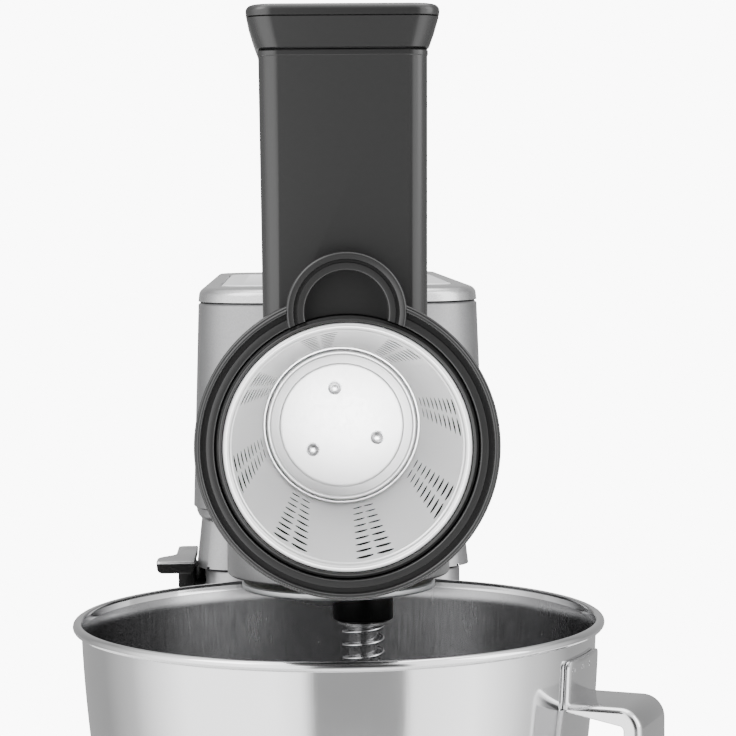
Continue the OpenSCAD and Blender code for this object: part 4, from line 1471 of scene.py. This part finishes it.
    def rivets(self, axis: Point, back: float) -> None:
        """Sets the three rivets of the end plate.

        Args:
            axis: A point on the drum's axis.
            back: The closed end's Y.
        """
        radius, circle = 2.6 * MM, 14.3 * MM
        y = back + 0.35 * MM
        dome = [(0.0, y - 0.85 * MM), (radius * 0.45, y - 0.8 * MM), (radius * 0.72, y - 0.62 * MM),
                (radius * 0.84, y - 0.3 * MM), (radius * 0.97, y - 0.34 * MM), (radius, y - 0.1 * MM),
                (radius, y + 0.1 * MM),
                (0.0, y + 0.1 * MM)]
        turns = [math.radians(degrees) for degrees in (100, 220, 340)]
        places = [Vector((circle * math.cos(a), 0, axis[2] + circle * math.sin(a))) for a in turns]
        made = [self.tools.turn("drum_rivet_heads", dome, Axis.Y, places[0], 32, 30)]
        for index, place in enumerate(places[1:], 1):
            rivet = self.tools.copy(made[0], f"rivet_{index}")
            self.tools.move(rivet, place - places[0])
            made.append(rivet)
        rivets = self.tools.join(made, "drum_rivet_heads")
        self.place(rivets, "drum", TURNED_STEEL, "drum_steel", ["drum_rivets"])


@dataclass
class Feeder(Assembly):
    """The black attachment: front frame with its arch, sleeve, chute and pusher cap.

    Attributes:
        wall: The mouldings' wall.
        corner: The chute's corner radius.
        rise: How far the arch's centre stands above the drum's axis.
        arch: The arch's radius.
    """

    wall: float = 2.5 * MM
    corner: float = 7 * MM
    rise: float = 46.3 * MM
    arch: float = 20.5 * MM

    def build(self) -> None:
        """Builds the attachment."""
        frame, sleeve = Span.of("front_frame"), Span.of("drum_housing")
        axis = (0.0, 0.0, Span.of("drum_cone").middle.z)
        self.front(frame, axis)
        self.body(sleeve, frame, axis)
        self.cap(Span.of("pusher_cap"))

    def front(self, frame: Span, axis: Point) -> None:
        """Builds the stepped ring and the arch on top of it.

        Args:
            frame: The front frame's box.
            axis: A point on the drum's axis.
        """
        y, back, out = frame.low.y, frame.high.y, frame.high.x
        inner = 45.5 * MM
        ring = self.tools.turn(
            "front_ring",
            [(inner, y + 1.6 * MM), *arc((inner + 0.6 * MM, y + 1.1 * MM), 0.6 * MM, 180, 270, 4),
             (inner + 2.7 * MM, y + 0.9 * MM), (inner + 3.1 * MM, y + 2.6 * MM), (inner + 4.5 * MM,
              y + 2.6 * MM),
             *arc((inner + 5.4 * MM, y + 0.75 * MM), 0.75 * MM, 190, 350, 6),
             (out - 0.9 * MM, y + 1.9 * MM), *arc((out - 0.7 * MM, y + 2.6 * MM), 0.7 * MM, -90, 0, 4),
             (out, back - 0.6 * MM), (out - 0.6 * MM, back), (inner, back), (inner, y + 1.6 * MM)],
            Axis.Y,
            axis,
            144,
            38,
        )
        top = (0.0, 0.0, axis[2] + self.rise)
        r = self.arch
        hood = self.tools.turn(
            "front_arch",
            [(0.0, y + 8 * MM), (r - 6.4 * MM, y + 8 * MM), (r - 6.2 * MM, y + 0.9 * MM),
             *arc((r - 5.6 * MM, y + 0.6 * MM), 0.6 * MM, 180, 270, 3), (r - 3.8 * MM, y + 0.1 * MM),
             (r - 3.4 * MM, y + 1.6 * MM), (r - 2.7 * MM, y + 1.6 * MM), (r - 2.4 * MM, y + 0.4 * MM),
             *arc((r - 0.8 * MM, y + 0.8 * MM), 0.8 * MM, -100, 0, 5), (r, back), (0.0, back)],
            Axis.Y,
            top,
            112,
            38,
        )
        window = self.tools.rod("ring_window", (0, y - 2 * MM, top[2]), r - 0.1 * MM, 20 * MM, "Y", 112)
        self.tools.combine(ring, window)
        mouth = self.tools.rod("ring_mouth", (0, y, axis[2]), inner, 60 * MM, "Y", 144)
        self.tools.combine(hood, mouth)
        self.tools.combine(ring, hood, "UNION")
        self.tools.tidy(ring, 38)
        self.place(ring, "attachment", GLOSS_BLACK, "gloss_black", ["front_frame"])

    def body(self, sleeve: Span, frame: Span, axis: Point) -> None:
        """Builds the sleeve around the drum and the chute above it.

        Args:
            sleeve: The sleeve's and chute's box.
            frame: The front frame's box.
            axis: A point on the drum's axis.
        """
        start, neck = frame.high.y, sleeve.high.y
        rear = neck - 9.5 * MM
        front_r, rear_r = sleeve.high.x - 0.1 * MM, sleeve.high.x - 11.4 * MM
        wall = 3 * MM
        shell = self.tools.turn(
            "feeder_body",
            [(0.0, rear), (rear_r - 2 * MM, rear), *arc((rear_r - 2 * MM, rear - 2 * MM), 2 * MM, 90, 0, 4),
             (front_r, start + 0.05 * MM), (0.0, start + 0.05 * MM)],
            Axis.Y,
            axis,
            112,
        )
        cap = Span.of("pusher_cap")
        half = Span.of("pusher").high.x + self.wall + 0.5 * MM
        depth = (Span.of("pusher").size.y / 2) + self.wall + 0.5 * MM
        middle = cap.middle.y
        plan = rounded((-half, middle - depth), (half, middle + depth), self.corner)
        top = cap.low.z
        taper = 0.9 * MM
        chute = self.tools.raise_plan(
            "chute",
            plan,
            [(axis[2] + 6 * MM, taper), (top - 2.2 * MM, 0.0), (top - 1.8 * MM, -0.25 * MM),
             (top - 0.4 * MM, -0.25 * MM), (top, 0.1 * MM)],
            (half, depth),
            (0, middle),
        )
        self.tools.combine(shell, chute, "UNION")
        room = self.tools.turn(
            "drum_room",
            [(0.0, rear - 3.5 * MM), (rear_r - wall, rear - 3.5 * MM), (front_r - wall, start),
             (front_r - wall, start - 20 * MM), (0.0, start - 20 * MM)],
            Axis.Y,
            axis,
            112,
        )
        self.tools.combine(shell, room)
        inner = (half - self.wall, depth - self.wall)
        plan = rounded(
            (-half + self.wall, middle - depth + self.wall),
            (half - self.wall, middle + depth - self.wall),
            self.corner - self.wall,
        )
        levels = [(axis[2] + 12 * MM, 0.3 * MM), (top + 10 * MM, 0)]
        shaft = self.tools.raise_plan("chute_room", plan, levels, inner, (0, middle))
        self.tools.combine(shell, shaft)
        neck_r = Span.of("hub_ring").size.x / 2 + 0.5 * MM
        collar = self.tools.turn(
            "neck",
            [(neck_r, rear - 0.2 * MM), (neck_r + 4 * MM, rear - 0.2 * MM), (neck_r + 4 * MM, neck - 0.8 * MM),
             (neck_r + 3.2 * MM, neck), (neck_r, neck), (neck_r, rear - 0.2 * MM)],
            Axis.Y,
            axis,
            80,
        )
        bore = self.tools.rod("bore", (0, rear, axis[2]), 7.1 * MM, 30 * MM, "Y", 48)
        self.tools.combine(shell, bore)
        self.tools.combine(shell, collar, "UNION")
        self.tools.tidy(shell, 34)
        self.place(shell, "attachment", GLOSS_BLACK, "gloss_black", ["drum_housing"])

    def cap(self, cap: Span) -> None:
        """Builds the pusher's flared cap.

        Args:
            cap: The cap's box.
        """
        half, depth, middle = cap.size.x / 2, cap.size.y / 2, cap.middle
        low, high = cap.low.z + 0.3 * MM, cap.high.z
        slab = 4.0 * MM
        plan = rounded((-half, middle.y - depth), (half, middle.y + depth), self.corner + 2 * MM)
        soft = 2.4 * MM
        levels = [(low, 4.2 * MM), (low + 0.5 * MM, 3.5 * MM), (low + 5 * MM, 1.9 * MM)]
        levels += [(high - slab - 0.5 * MM, 0.25 * MM), (high - slab - 0.2 * MM, 0.75 * MM), (high - slab,
            0.15 * MM)]
        levels += [(high - soft, 0.0)]
        levels += eased(high, soft, 0.0, (20, 40, 60, 80))
        top = self.tools.raise_plan("chute_pusher_cap", plan, levels, (half, depth), (0, middle.y))
        self.tools.choose(top, Kind.FACES, lambda c: c.z > high - 0.1 * MM)
        bpy.ops.mesh.inset(thickness=6 * MM)
        bpy.ops.mesh.inset(thickness=1.2 * MM, depth=-0.8 * MM)
        self.tools.done()
        self.tools.tidy(top, 30)
        self.place(top, "pusher", GLOSS_BLACK, "gloss_black", ["pusher_cap"])


@dataclass
class BaseSet(Assembly):
    """The foot: base housing, column, knob and its ring.

    Attributes:
        radius: The round front's radius.
        chamfer: The rounding of the base's upper edge.
        wall: The castings' wall.
        shoulder: The height of the column's top.
    """

    radius: float = 100 * MM
    chamfer: float = 5 * MM
    wall: float = 3.5 * MM
    shoulder: float = 0.207

    def build(self) -> None:
        """Builds the base, the column and the knob."""
        base, column = Span.of("base_housing"), Span.of("column_housing")
        self.base(base, column)
        self.column(column)
        self.knob(Span.of("speed_knob"), Span.of("knob_trim"))

    def base(self, base: Span, column: Span) -> None:
        """Builds the base housing.

        Args:
            base: The base's box.
            column: The column's box.
        """
        half = column.high.x + 6 * MM
        shoulder = math.degrees(math.acos(half / self.radius))
        rear, corner = base.high.y, 14 * MM
        outline = arc((0, 0), self.radius, 180 - shoulder, 360 + shoulder, 72)
        outline += arc((half - corner, rear - corner), corner, 0, 90, 8)
        outline += arc((-half + corner, rear - corner), corner, 90, 180, 8)
        middle = (rear - self.radius) / 2
        depth = (rear + self.radius) / 2
        low, high = base.low.z, base.high.z
        levels = [(low, 1.2 * MM), (low + 1.2 * MM, 0.0), (high - self.chamfer, 0.0)]
        levels += eased(high, self.chamfer, 0.0, (18, 36, 54, 72, 90))
        body = self.tools.raise_plan("base_shell", outline, levels, (self.radius, depth), (0, middle))
        seat = Span.of("bowl_seat")
        deep = 40 * MM
        place = (0, 0, seat.low.z + deep / 2)
        recess = self.tools.rod("seat_recess", place, seat.high.x + 0.25 * MM, deep, "Z", 128)
        self.tools.combine(body, recess)
        levels = [(low - MM, self.wall), (seat.low.z - self.wall, self.wall)]
        inside = self.tools.raise_plan("base_room", outline, levels, (self.radius, depth), (0, middle))
        self.tools.combine(body, inside)
        gland = Span.of("cord_gland").middle
        hole = self.tools.rod("gland_hole", (0, rear, gland.z), 8 * MM, 20 * MM, "Y", 48)
        self.tools.combine(body, hole)
        self.tools.tidy(body, 34)
        self.place(body, "base", SATIN_SILVER, "body_silver", ["base_housing"])

    def column(self, column: Span) -> None:
        """Builds the column with the trough that the head's barrel turns in.

        Args:
            column: The column's box.
        """
        half, front, rear = column.high.x, column.low.y, column.high.y
        shell, pin = Span.of("head_shell"), Span.of("hinge_pin").middle
        top, wall = self.shoulder, self.wall
        depth, middle = (rear - front) / 2, (rear + front) / 2
        plan = rounded((-half, front), (half, rear), 16 * MM, 10)
        edge = 1.2 * MM
        levels = [(column.low.z, 0.4 * MM), (column.low.z + 0.8 * MM, 0), (top - edge, 0)]
        levels += [(top - edge * 0.3, edge * 0.3), (top, edge)]
        body = self.tools.raise_plan("column_shell", plan, levels, (half, depth), (0, middle))
        trough = shell.high.y - pin.y + 1 * MM
        room = self.tools.raise_plan(
            "column_room",
            plan,
            [(column.low.z - MM, wall), (pin.z - trough - wall - 8 * MM, wall)],
            (half, depth),
            (0, middle),
        )
        self.tools.combine(body, room)
        self.tools.combine(body, self.tools.rod("trough", tuple(pin), trough, THROUGH, "X", 112))
        for side in (-1, 1):
            x = side * (half - 9.4 * MM)
            ear = self.tools.rod("ear", (x, pin.y, pin.z), 14 * MM, 8 * MM, "X", 64)
            arm = self.tools.block(
                "arm",
                (x - 4 * MM, pin.y - trough - 2.5 * MM, top - 24 * MM),
                (x + 4 * MM, pin.y - trough + 4 * MM, top),
            )
            bridge = self.tools.block("bridge", (x - 4 * MM, -12 * MM, -9 * MM), (x + 4 * MM, 12 * MM, 9 * MM))
            self.tools.edit(bridge)
            bpy.ops.transform.resize(value=(1, 1.5, 0.8), center_override=(x, 0, 0))
            bpy.ops.transform.rotate(value=math.radians(-34), orient_axis="X", center_override=(x, 0, 0))
            bpy.ops.transform.translate(value=(0, pin.y - 18 * MM, pin.z - 14 * MM))
            self.tools.done()
            self.tools.combine(ear, bridge, "UNION")
            self.tools.combine(ear, arm, "UNION")
            self.tools.combine(body, ear, "UNION")
        cover = Span.of("column_cover")
        pocket = self.tools.block(
            "cover_pocket",
            (cover.low.x - 0.5 * MM, rear - 2 * MM, cover.low.z - 0.5 * MM),
            (cover.high.x + 0.5 * MM, rear + 9 * MM, cover.high.z + 0.5 * MM),
        )
        self.tools.combine(body, pocket)
        self.tools.tidy(body, 34)
        self.place(body, "base", SATIN_SILVER, "body_silver", ["column_housing"])

    def knob(self, knob: Span, trim: Span) -> None:
        """Builds the ribbed speed knob and the ring behind it.

        Args:
            knob: The knob's box.
            trim: The ring's box.
        """
        centre = Vector((0, knob.middle.y, knob.middle.z))
        r, low = knob.size.y / 2, knob.low.x
        face = low + 14.4 * MM
        body = self.tools.turn(
            "knob_grip",
            [(0.0, low), (r - 0.8 * MM, low), (r, low + 0.8 * MM), (r - 0.6 * MM, face - 3 * MM),
             *arc((r - 2.6 * MM, face - 2 * MM), 2 * MM, 0, 90, 5), (r - 6 * MM, face), (r - 6.6 * MM,
              face - 0.7 * MM),
             (0.0, face - 0.4 * MM)],
            Axis.X,
            centre,
            96,
        )
        ribs = []
        for index in range(36):
            a = math.tau * index / 36
            place = (face - 7 * MM, centre.y + r * math.cos(a), centre.z + r * math.sin(a))
            ribs.append(self.tools.rod(f"rib_{index}", place, 0.7 * MM, 10 * MM, "X", 8))
        self.tools.combine(body, self.tools.join(ribs, "knob_ribs"))
        self.tools.tidy(body, 34)
        self.place(body, "knob", BRIGHT_SILVER, "cover_silver", ["speed_knob"])
        mark = self.tools.block(
            "knob_pointer",
            (face - 1.2 * MM, centre.y - 1.2 * MM, centre.z + 5 * MM),
            (face + 1.6 * MM, centre.y + 1.2 * MM, centre.z + r - 3.4 * MM),
            0.5 * MM,
        )
        self.place(mark, "knob", GLOSS_BLACK, "gloss_black")
        out = trim.size.y / 2
        ring = self.tools.turn(
            "knob_ring",
            [(r + 0.6 * MM, trim.low.x), (out, trim.low.x), (out, trim.low.x + 0.8 * MM),
             (out - 0.8 * MM, trim.high.x - 0.3 * MM), (out - 1.4 * MM, trim.high.x),
             (r + 1 * MM, trim.high.x - 0.3 * MM), (r + 0.6 * MM, trim.low.x)],
            Axis.X,
            centre,
            96,
        )
        self.place(ring, "base", BRUSHED_STEEL, "cover_silver", ["knob_trim"])


@dataclass
class LeverSet(Assembly):
    """The release lever at the head's left.

    Attributes:
        tip: How long the wide part of the pad is.
        arm: The width of the arm behind the pad.
        cheek: How far the boss's inner end is from the middle plane.
    """

    tip: float = 11 * MM
    arm: float = 8 * MM
    cheek: float = 0.0604

    def build(self) -> None:
        """Builds the lever and the pad on it."""
        lever, pad = Span.of("release_lever"), Span.of("lever_pad")
        x0, x1 = lever.low.x, pad.high.x
        y0, y1 = pad.low.y, pad.high.y
        waist = x1 - 9.2 * MM
        left = [(x0, y0 + 3 * MM), *arc((x0 + 1.6 * MM, y0 + 1.6 * MM), 1.6 * MM, 180, 270, 4)]
        right = [(x1, y0), (x1, y1)]
        back = [(waist + 2 * MM, y1), (waist, y1 - 2 * MM), (waist, y0 + 26 * MM)]
        sweep = [
            (waist + (x0 - waist) * (1 - math.cos(math.pi * i / 8)) / 2,
             y0 + 26 * MM - (26 * MM - self.tip) * i / 8)
            for i in range(1, 9)
        ]
        plan = left + right + back + sweep
        half, depth = (x1 - x0) / 2, (y1 - y0) / 2
        middle = ((x0 + x1) / 2, (y0 + y1) / 2)
        low, high = pad.low.z - 4.8 * MM, pad.low.z
        body = self.tools.raise_plan(
            "lever_body",
            plan,
            [(low, 1.8 * MM), (low + 0.7 * MM, 0.8 * MM), (low + 2 * MM, 0.2 * MM), (high, 0.0)],
            (half, depth),
            middle,
        )
        pivot = Span.of("lever_shaft").middle
        arm = self.tools.block(
            "lever_arm",
            (x1 - self.arm, pivot.y - 22 * MM, pivot.z + 1 * MM),
            (x1, pivot.y + 7 * MM, low + 1.2 * MM),
            1 * MM,
        )
        place = ((x1 - self.arm - self.cheek) / 2, pivot.y, pivot.z)
        boss = self.tools.rod("lever_boss", place, 9 * MM, abs(x1 - self.arm + self.cheek), "X", 48)
        self.tools.combine(body, arm, "UNION")
        self.tools.combine(body, boss, "UNION")
        self.tools.tidy(body, 34)
        self.place(body, "lever", SATIN_BLACK, "black_plastic", ["release_lever"])
        top = pad.high.z
        cap = self.tools.raise_plan(
            "lever_top",
            plan,
            [(high, 0.0), (top - 0.5 * MM, 0.0), (top - 0.15 * MM, 0.15 * MM), (top, 0.5 * MM)],
            (half, depth),
            middle,
        )
        self.place(cap, "lever", BRIGHT_SILVER, "cover_silver", ["lever_pad"])


class FrameFinishes:
    """The finishes of the frame's own nodes."""

    CHOICES: dict[str, Finish] = {
        "base_cover": SATIN_BLACK,
        "rubber_feet": RUBBER,
        "base_screws": DARK_STEEL,
        "bowl_seat": SATIN_BLACK,
        "column_cover": BRIGHT_SILVER,
        "cord_gland": RUBBER,
        "control_board": BOARD,
        "hinge_pin": BRUSHED_STEEL,
        "bowl_foot": BRUSHED_STEEL,
        "gear_chassis": CAST_ALLOY,
        "hub_ring": BRIGHT_SILVER,
        "motor_stator": LAMINATED,
        "ring_gear": NYLON,
        "shaft_bearings": TURNED_STEEL,
        "drive_belt": BELT,
        "motor_rotor": COPPER,
        "motor_shaft": BRUSHED_STEEL,
        "motor_pulley": DARK_STEEL,
        "motor_fan": SATIN_BLACK,
        "main_shaft": BRUSHED_STEEL,
        "main_pulley": DARK_STEEL,
        "bevel_pinion": DARK_STEEL,
        "carrier_shaft": BRUSHED_STEEL,
        "bevel_wheel": DARK_STEEL,
        "planet_gear": NYLON,
        "pusher": SATIN_BLACK,
        "drum_hub": DEEP_BLACK,
        "lever_shaft": BRUSHED_STEEL,
        "latch_cam": DARK_STEEL,
        "knob_shaft": BRUSHED_STEEL,
    }

    @classmethod
    def dress(cls, nodes: dict[str, bpy.types.Object]) -> None:
        """Dresses every node that has a choice.

        Args:
            nodes: The frame's nodes.
        """
        for name, finish in cls.CHOICES.items():
            finish.dress(nodes[name])


# ---- Studio ----


@dataclass
class Studio:
    """The camera, the floor, the lights and the sky.

    Attributes:
        eye: The camera's place.
        lens: Its focal length in millimetres.
        yaw: How far it looks to the right, in degrees.
        pitch: How far it looks down, in degrees.
        roll: Its tilt, in degrees.
        power: The room's brightest level.
        overhead: The level overhead, as a share of it.
        below: The least level under the horizon, as a share of it.
        backdrop: The level that the camera sees behind the machine.
        round: Pairs of bearing from the front, in degrees, and level.
    """

    eye: Point = (-0.020, -1.010, 0.370)
    lens: float = 119.8
    yaw: float = 1.87
    pitch: float = 3.53
    roll: float = -0.5
    power: float = 4.0
    overhead: float = 0.55
    below: float = 0.13
    backdrop: float = 12.0
    round: tuple[Pair, ...] = (
        (-180, 0.14), (-135, 0.1), (-105, 0.24), (-72, 0.8), (-30, 0.85), (-18, 0.7), (-11, 0.06),
        (0, 0.02), (18, 0.02), (26, 0.06), (31, 0.65), (60, 0.8), (90, 0.34), (125, 0.1), (180, 0.14),
    )

    def camera(self) -> None:
        """Sets the camera."""
        bpy.ops.object.camera_add(location=self.eye)
        camera = bpy.context.active_object
        camera.name = "camera"
        camera.data.lens = self.lens
        camera.data.sensor_width = 36.0
        camera.data.clip_start = 0.01
        turn = Matrix.Rotation(math.radians(-self.yaw), 4, "Z")
        tilt = Matrix.Rotation(math.radians(90 - self.pitch), 4, "X")
        lean = Matrix.Rotation(math.radians(self.roll), 4, "Z")
        camera.matrix_world = Matrix.Translation(self.eye) @ turn @ tilt @ lean
        bpy.context.scene.camera = camera

    def floor(self) -> None:
        """Lays the pale floor."""
        bpy.ops.mesh.primitive_circle_add(vertices=128, radius=0.5, fill_type="NGON", location=(0, 0, 0))
        floor = bpy.context.active_object
        floor.name = "floor"
        paint = bpy.data.materials.new("floor_paint")
        paint.use_nodes = True
        shader = paint.node_tree.nodes["Principled BSDF"]
        shader.inputs["Base Color"].default_value = (0.86, 0.86, 0.86, 1)
        shader.inputs["Roughness"].default_value = 0.8
        floor.data.materials.append(paint)

    def light(self, name: str, place: Point, aim: Point, size: Pair, power: float) -> bpy.types.Object:
        """Sets one soft light.

        Args:
            name: Its name.
            place: Where it stands.
            aim: What it points at.
            size: Its width and height.
            power: Its power in watts.

        Returns:
            The light.
        """
        bpy.ops.object.light_add(type="AREA", location=place)
        light = bpy.context.active_object
        light.name = name
        light.data.shape = "RECTANGLE"
        light.data.size, light.data.size_y = size
        light.data.energy = power
        light.rotation_euler = (Vector(aim) - Vector(place)).to_track_quat("-Z", "Y").to_euler()
        return light

    def sky(self) -> None:
        """Sets a white room with two tall soft boxes and a dark gap between them."""
        world = bpy.data.worlds.new("room")
        bpy.context.scene.world = world
        world.use_nodes = True
        nodes, wiring = world.node_tree.nodes, Wiring(world.node_tree)
        room = nodes["Background"]
        place = wiring.node("ShaderNodeTexCoord", {}).outputs["Generated"]
        split = wiring.node("ShaderNodeSeparateXYZ", {"Vector": place}).outputs
        back = wiring.node("ShaderNodeMath", {0: split["Y"], 1: -1.0}, "MULTIPLY").outputs["Value"]
        bearing = wiring.node("ShaderNodeMath", {0: split["X"], 1: back}, "ARCTAN2").outputs["Value"]
        share = wiring.node(
            "ShaderNodeMapRange", {"Value": bearing, "From Min": -math.pi, "From Max": math.pi}
        ).outputs["Result"]
        boxes = wiring.node("ShaderNodeValToRGB", {"Fac": share})
        self.grade(boxes.color_ramp, [((degrees + 180) / 360, level) for degrees, level in self.round])
        height = wiring.node(
            "ShaderNodeMapRange", {"Value": split["Z"], "From Min": 0.55, "From Max": 0.9}
        ).outputs["Result"]
        low = wiring.node(
            "ShaderNodeMapRange", {"Value": split["Z"], "From Min": -0.02, "From Max": -0.12,
            "To Max": self.below}
        ).outputs["Result"]
        most = wiring.node("ShaderNodeMath", {0: boxes.outputs["Color"], 1: low}, "MAXIMUM").outputs["Value"]
        over = nodes.new("ShaderNodeMix")
        over.data_type = "RGBA"
        wiring.feed(over, {0: height, 6: most, 7: (self.overhead, self.overhead, self.overhead, 1)})
        wiring.feed(room, {"Color": over.outputs[2], "Strength": self.power})
        white = wiring.node("ShaderNodeBackground", {"Strength": self.backdrop}).outputs["Background"]
        seen = wiring.node("ShaderNodeLightPath", {}).outputs["Is Camera Ray"]
        choice = wiring.node("ShaderNodeMixShader", {"Fac": seen, 1: room.outputs["Background"], 2: white})
        wiring.feed(nodes["World Output"], {"Surface": choice.outputs["Shader"]})

    @staticmethod
    def grade(ramp: bpy.types.ColorRamp, stops: Sequence[Pair]) -> None:
        """Sets a ramp's greys.

        Args:
            ramp: The ramp.
            stops: Pairs of place and level, from 0 to 1.
        """
        while len(ramp.elements) > 1:
            ramp.elements.remove(ramp.elements[-1])
        ramp.elements[0].position = stops[0][0]
        ramp.elements[0].color = (stops[0][1],) * 3 + (1,)
        for place, level in stops[1:]:
            ramp.elements.new(place).color = (level, level, level, 1)

    def build(self) -> None:
        """Sets the whole studio."""
        self.camera()
        self.floor()
        self.sky()
        self.light("key", (-1.1, -0.7, 1.6), (0, 0, 0.25), (0.9, 1.2), 14)
        self.light("fill", (1.5, -0.5, 1.0), (0, 0, 0.25), (0.8, 1.4), 10)
        self.light("top", (0.1, 0.2, 1.7), (0, 0.05, 0.3), (1.2, 1.2), 12)


def light_drum(studio: Studio) -> None:
    """Sets a small light that reaches into the drum only.

    Args:
        studio: The studio.
    """
    lamp = studio.light("drum_light", (0, -1.45, 0.1), (0, -0.12, 0.29), (0.5, 0.3), 12)
    lit = bpy.data.collections.new("drum_lit")
    for name in ("shredder_drum", "drum_end_plate", "drum_rivet_heads"):
        lit.objects.link(bpy.data.objects[name])
    lamp.light_linking.receiver_collection = lit


def main() -> None:
    """Builds the machine around its frame."""
    logging.basicConfig(level=logging.INFO, format="%(name)s %(message)s")
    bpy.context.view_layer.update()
    studio = Studio()
    studio.build()
    FrameFinishes.dress(frame["nodes"])
    for assembly in (BowlSet(), HeadSet(), HubSet(), DrumSet(), Feeder(), BaseSet(), LeverSet()):
        assembly.build()
        LOG.info("%s: %s", type(assembly).__name__, ", ".join(assembly.made))
    light_drum(studio)


if __name__ == "__main__":
    main()
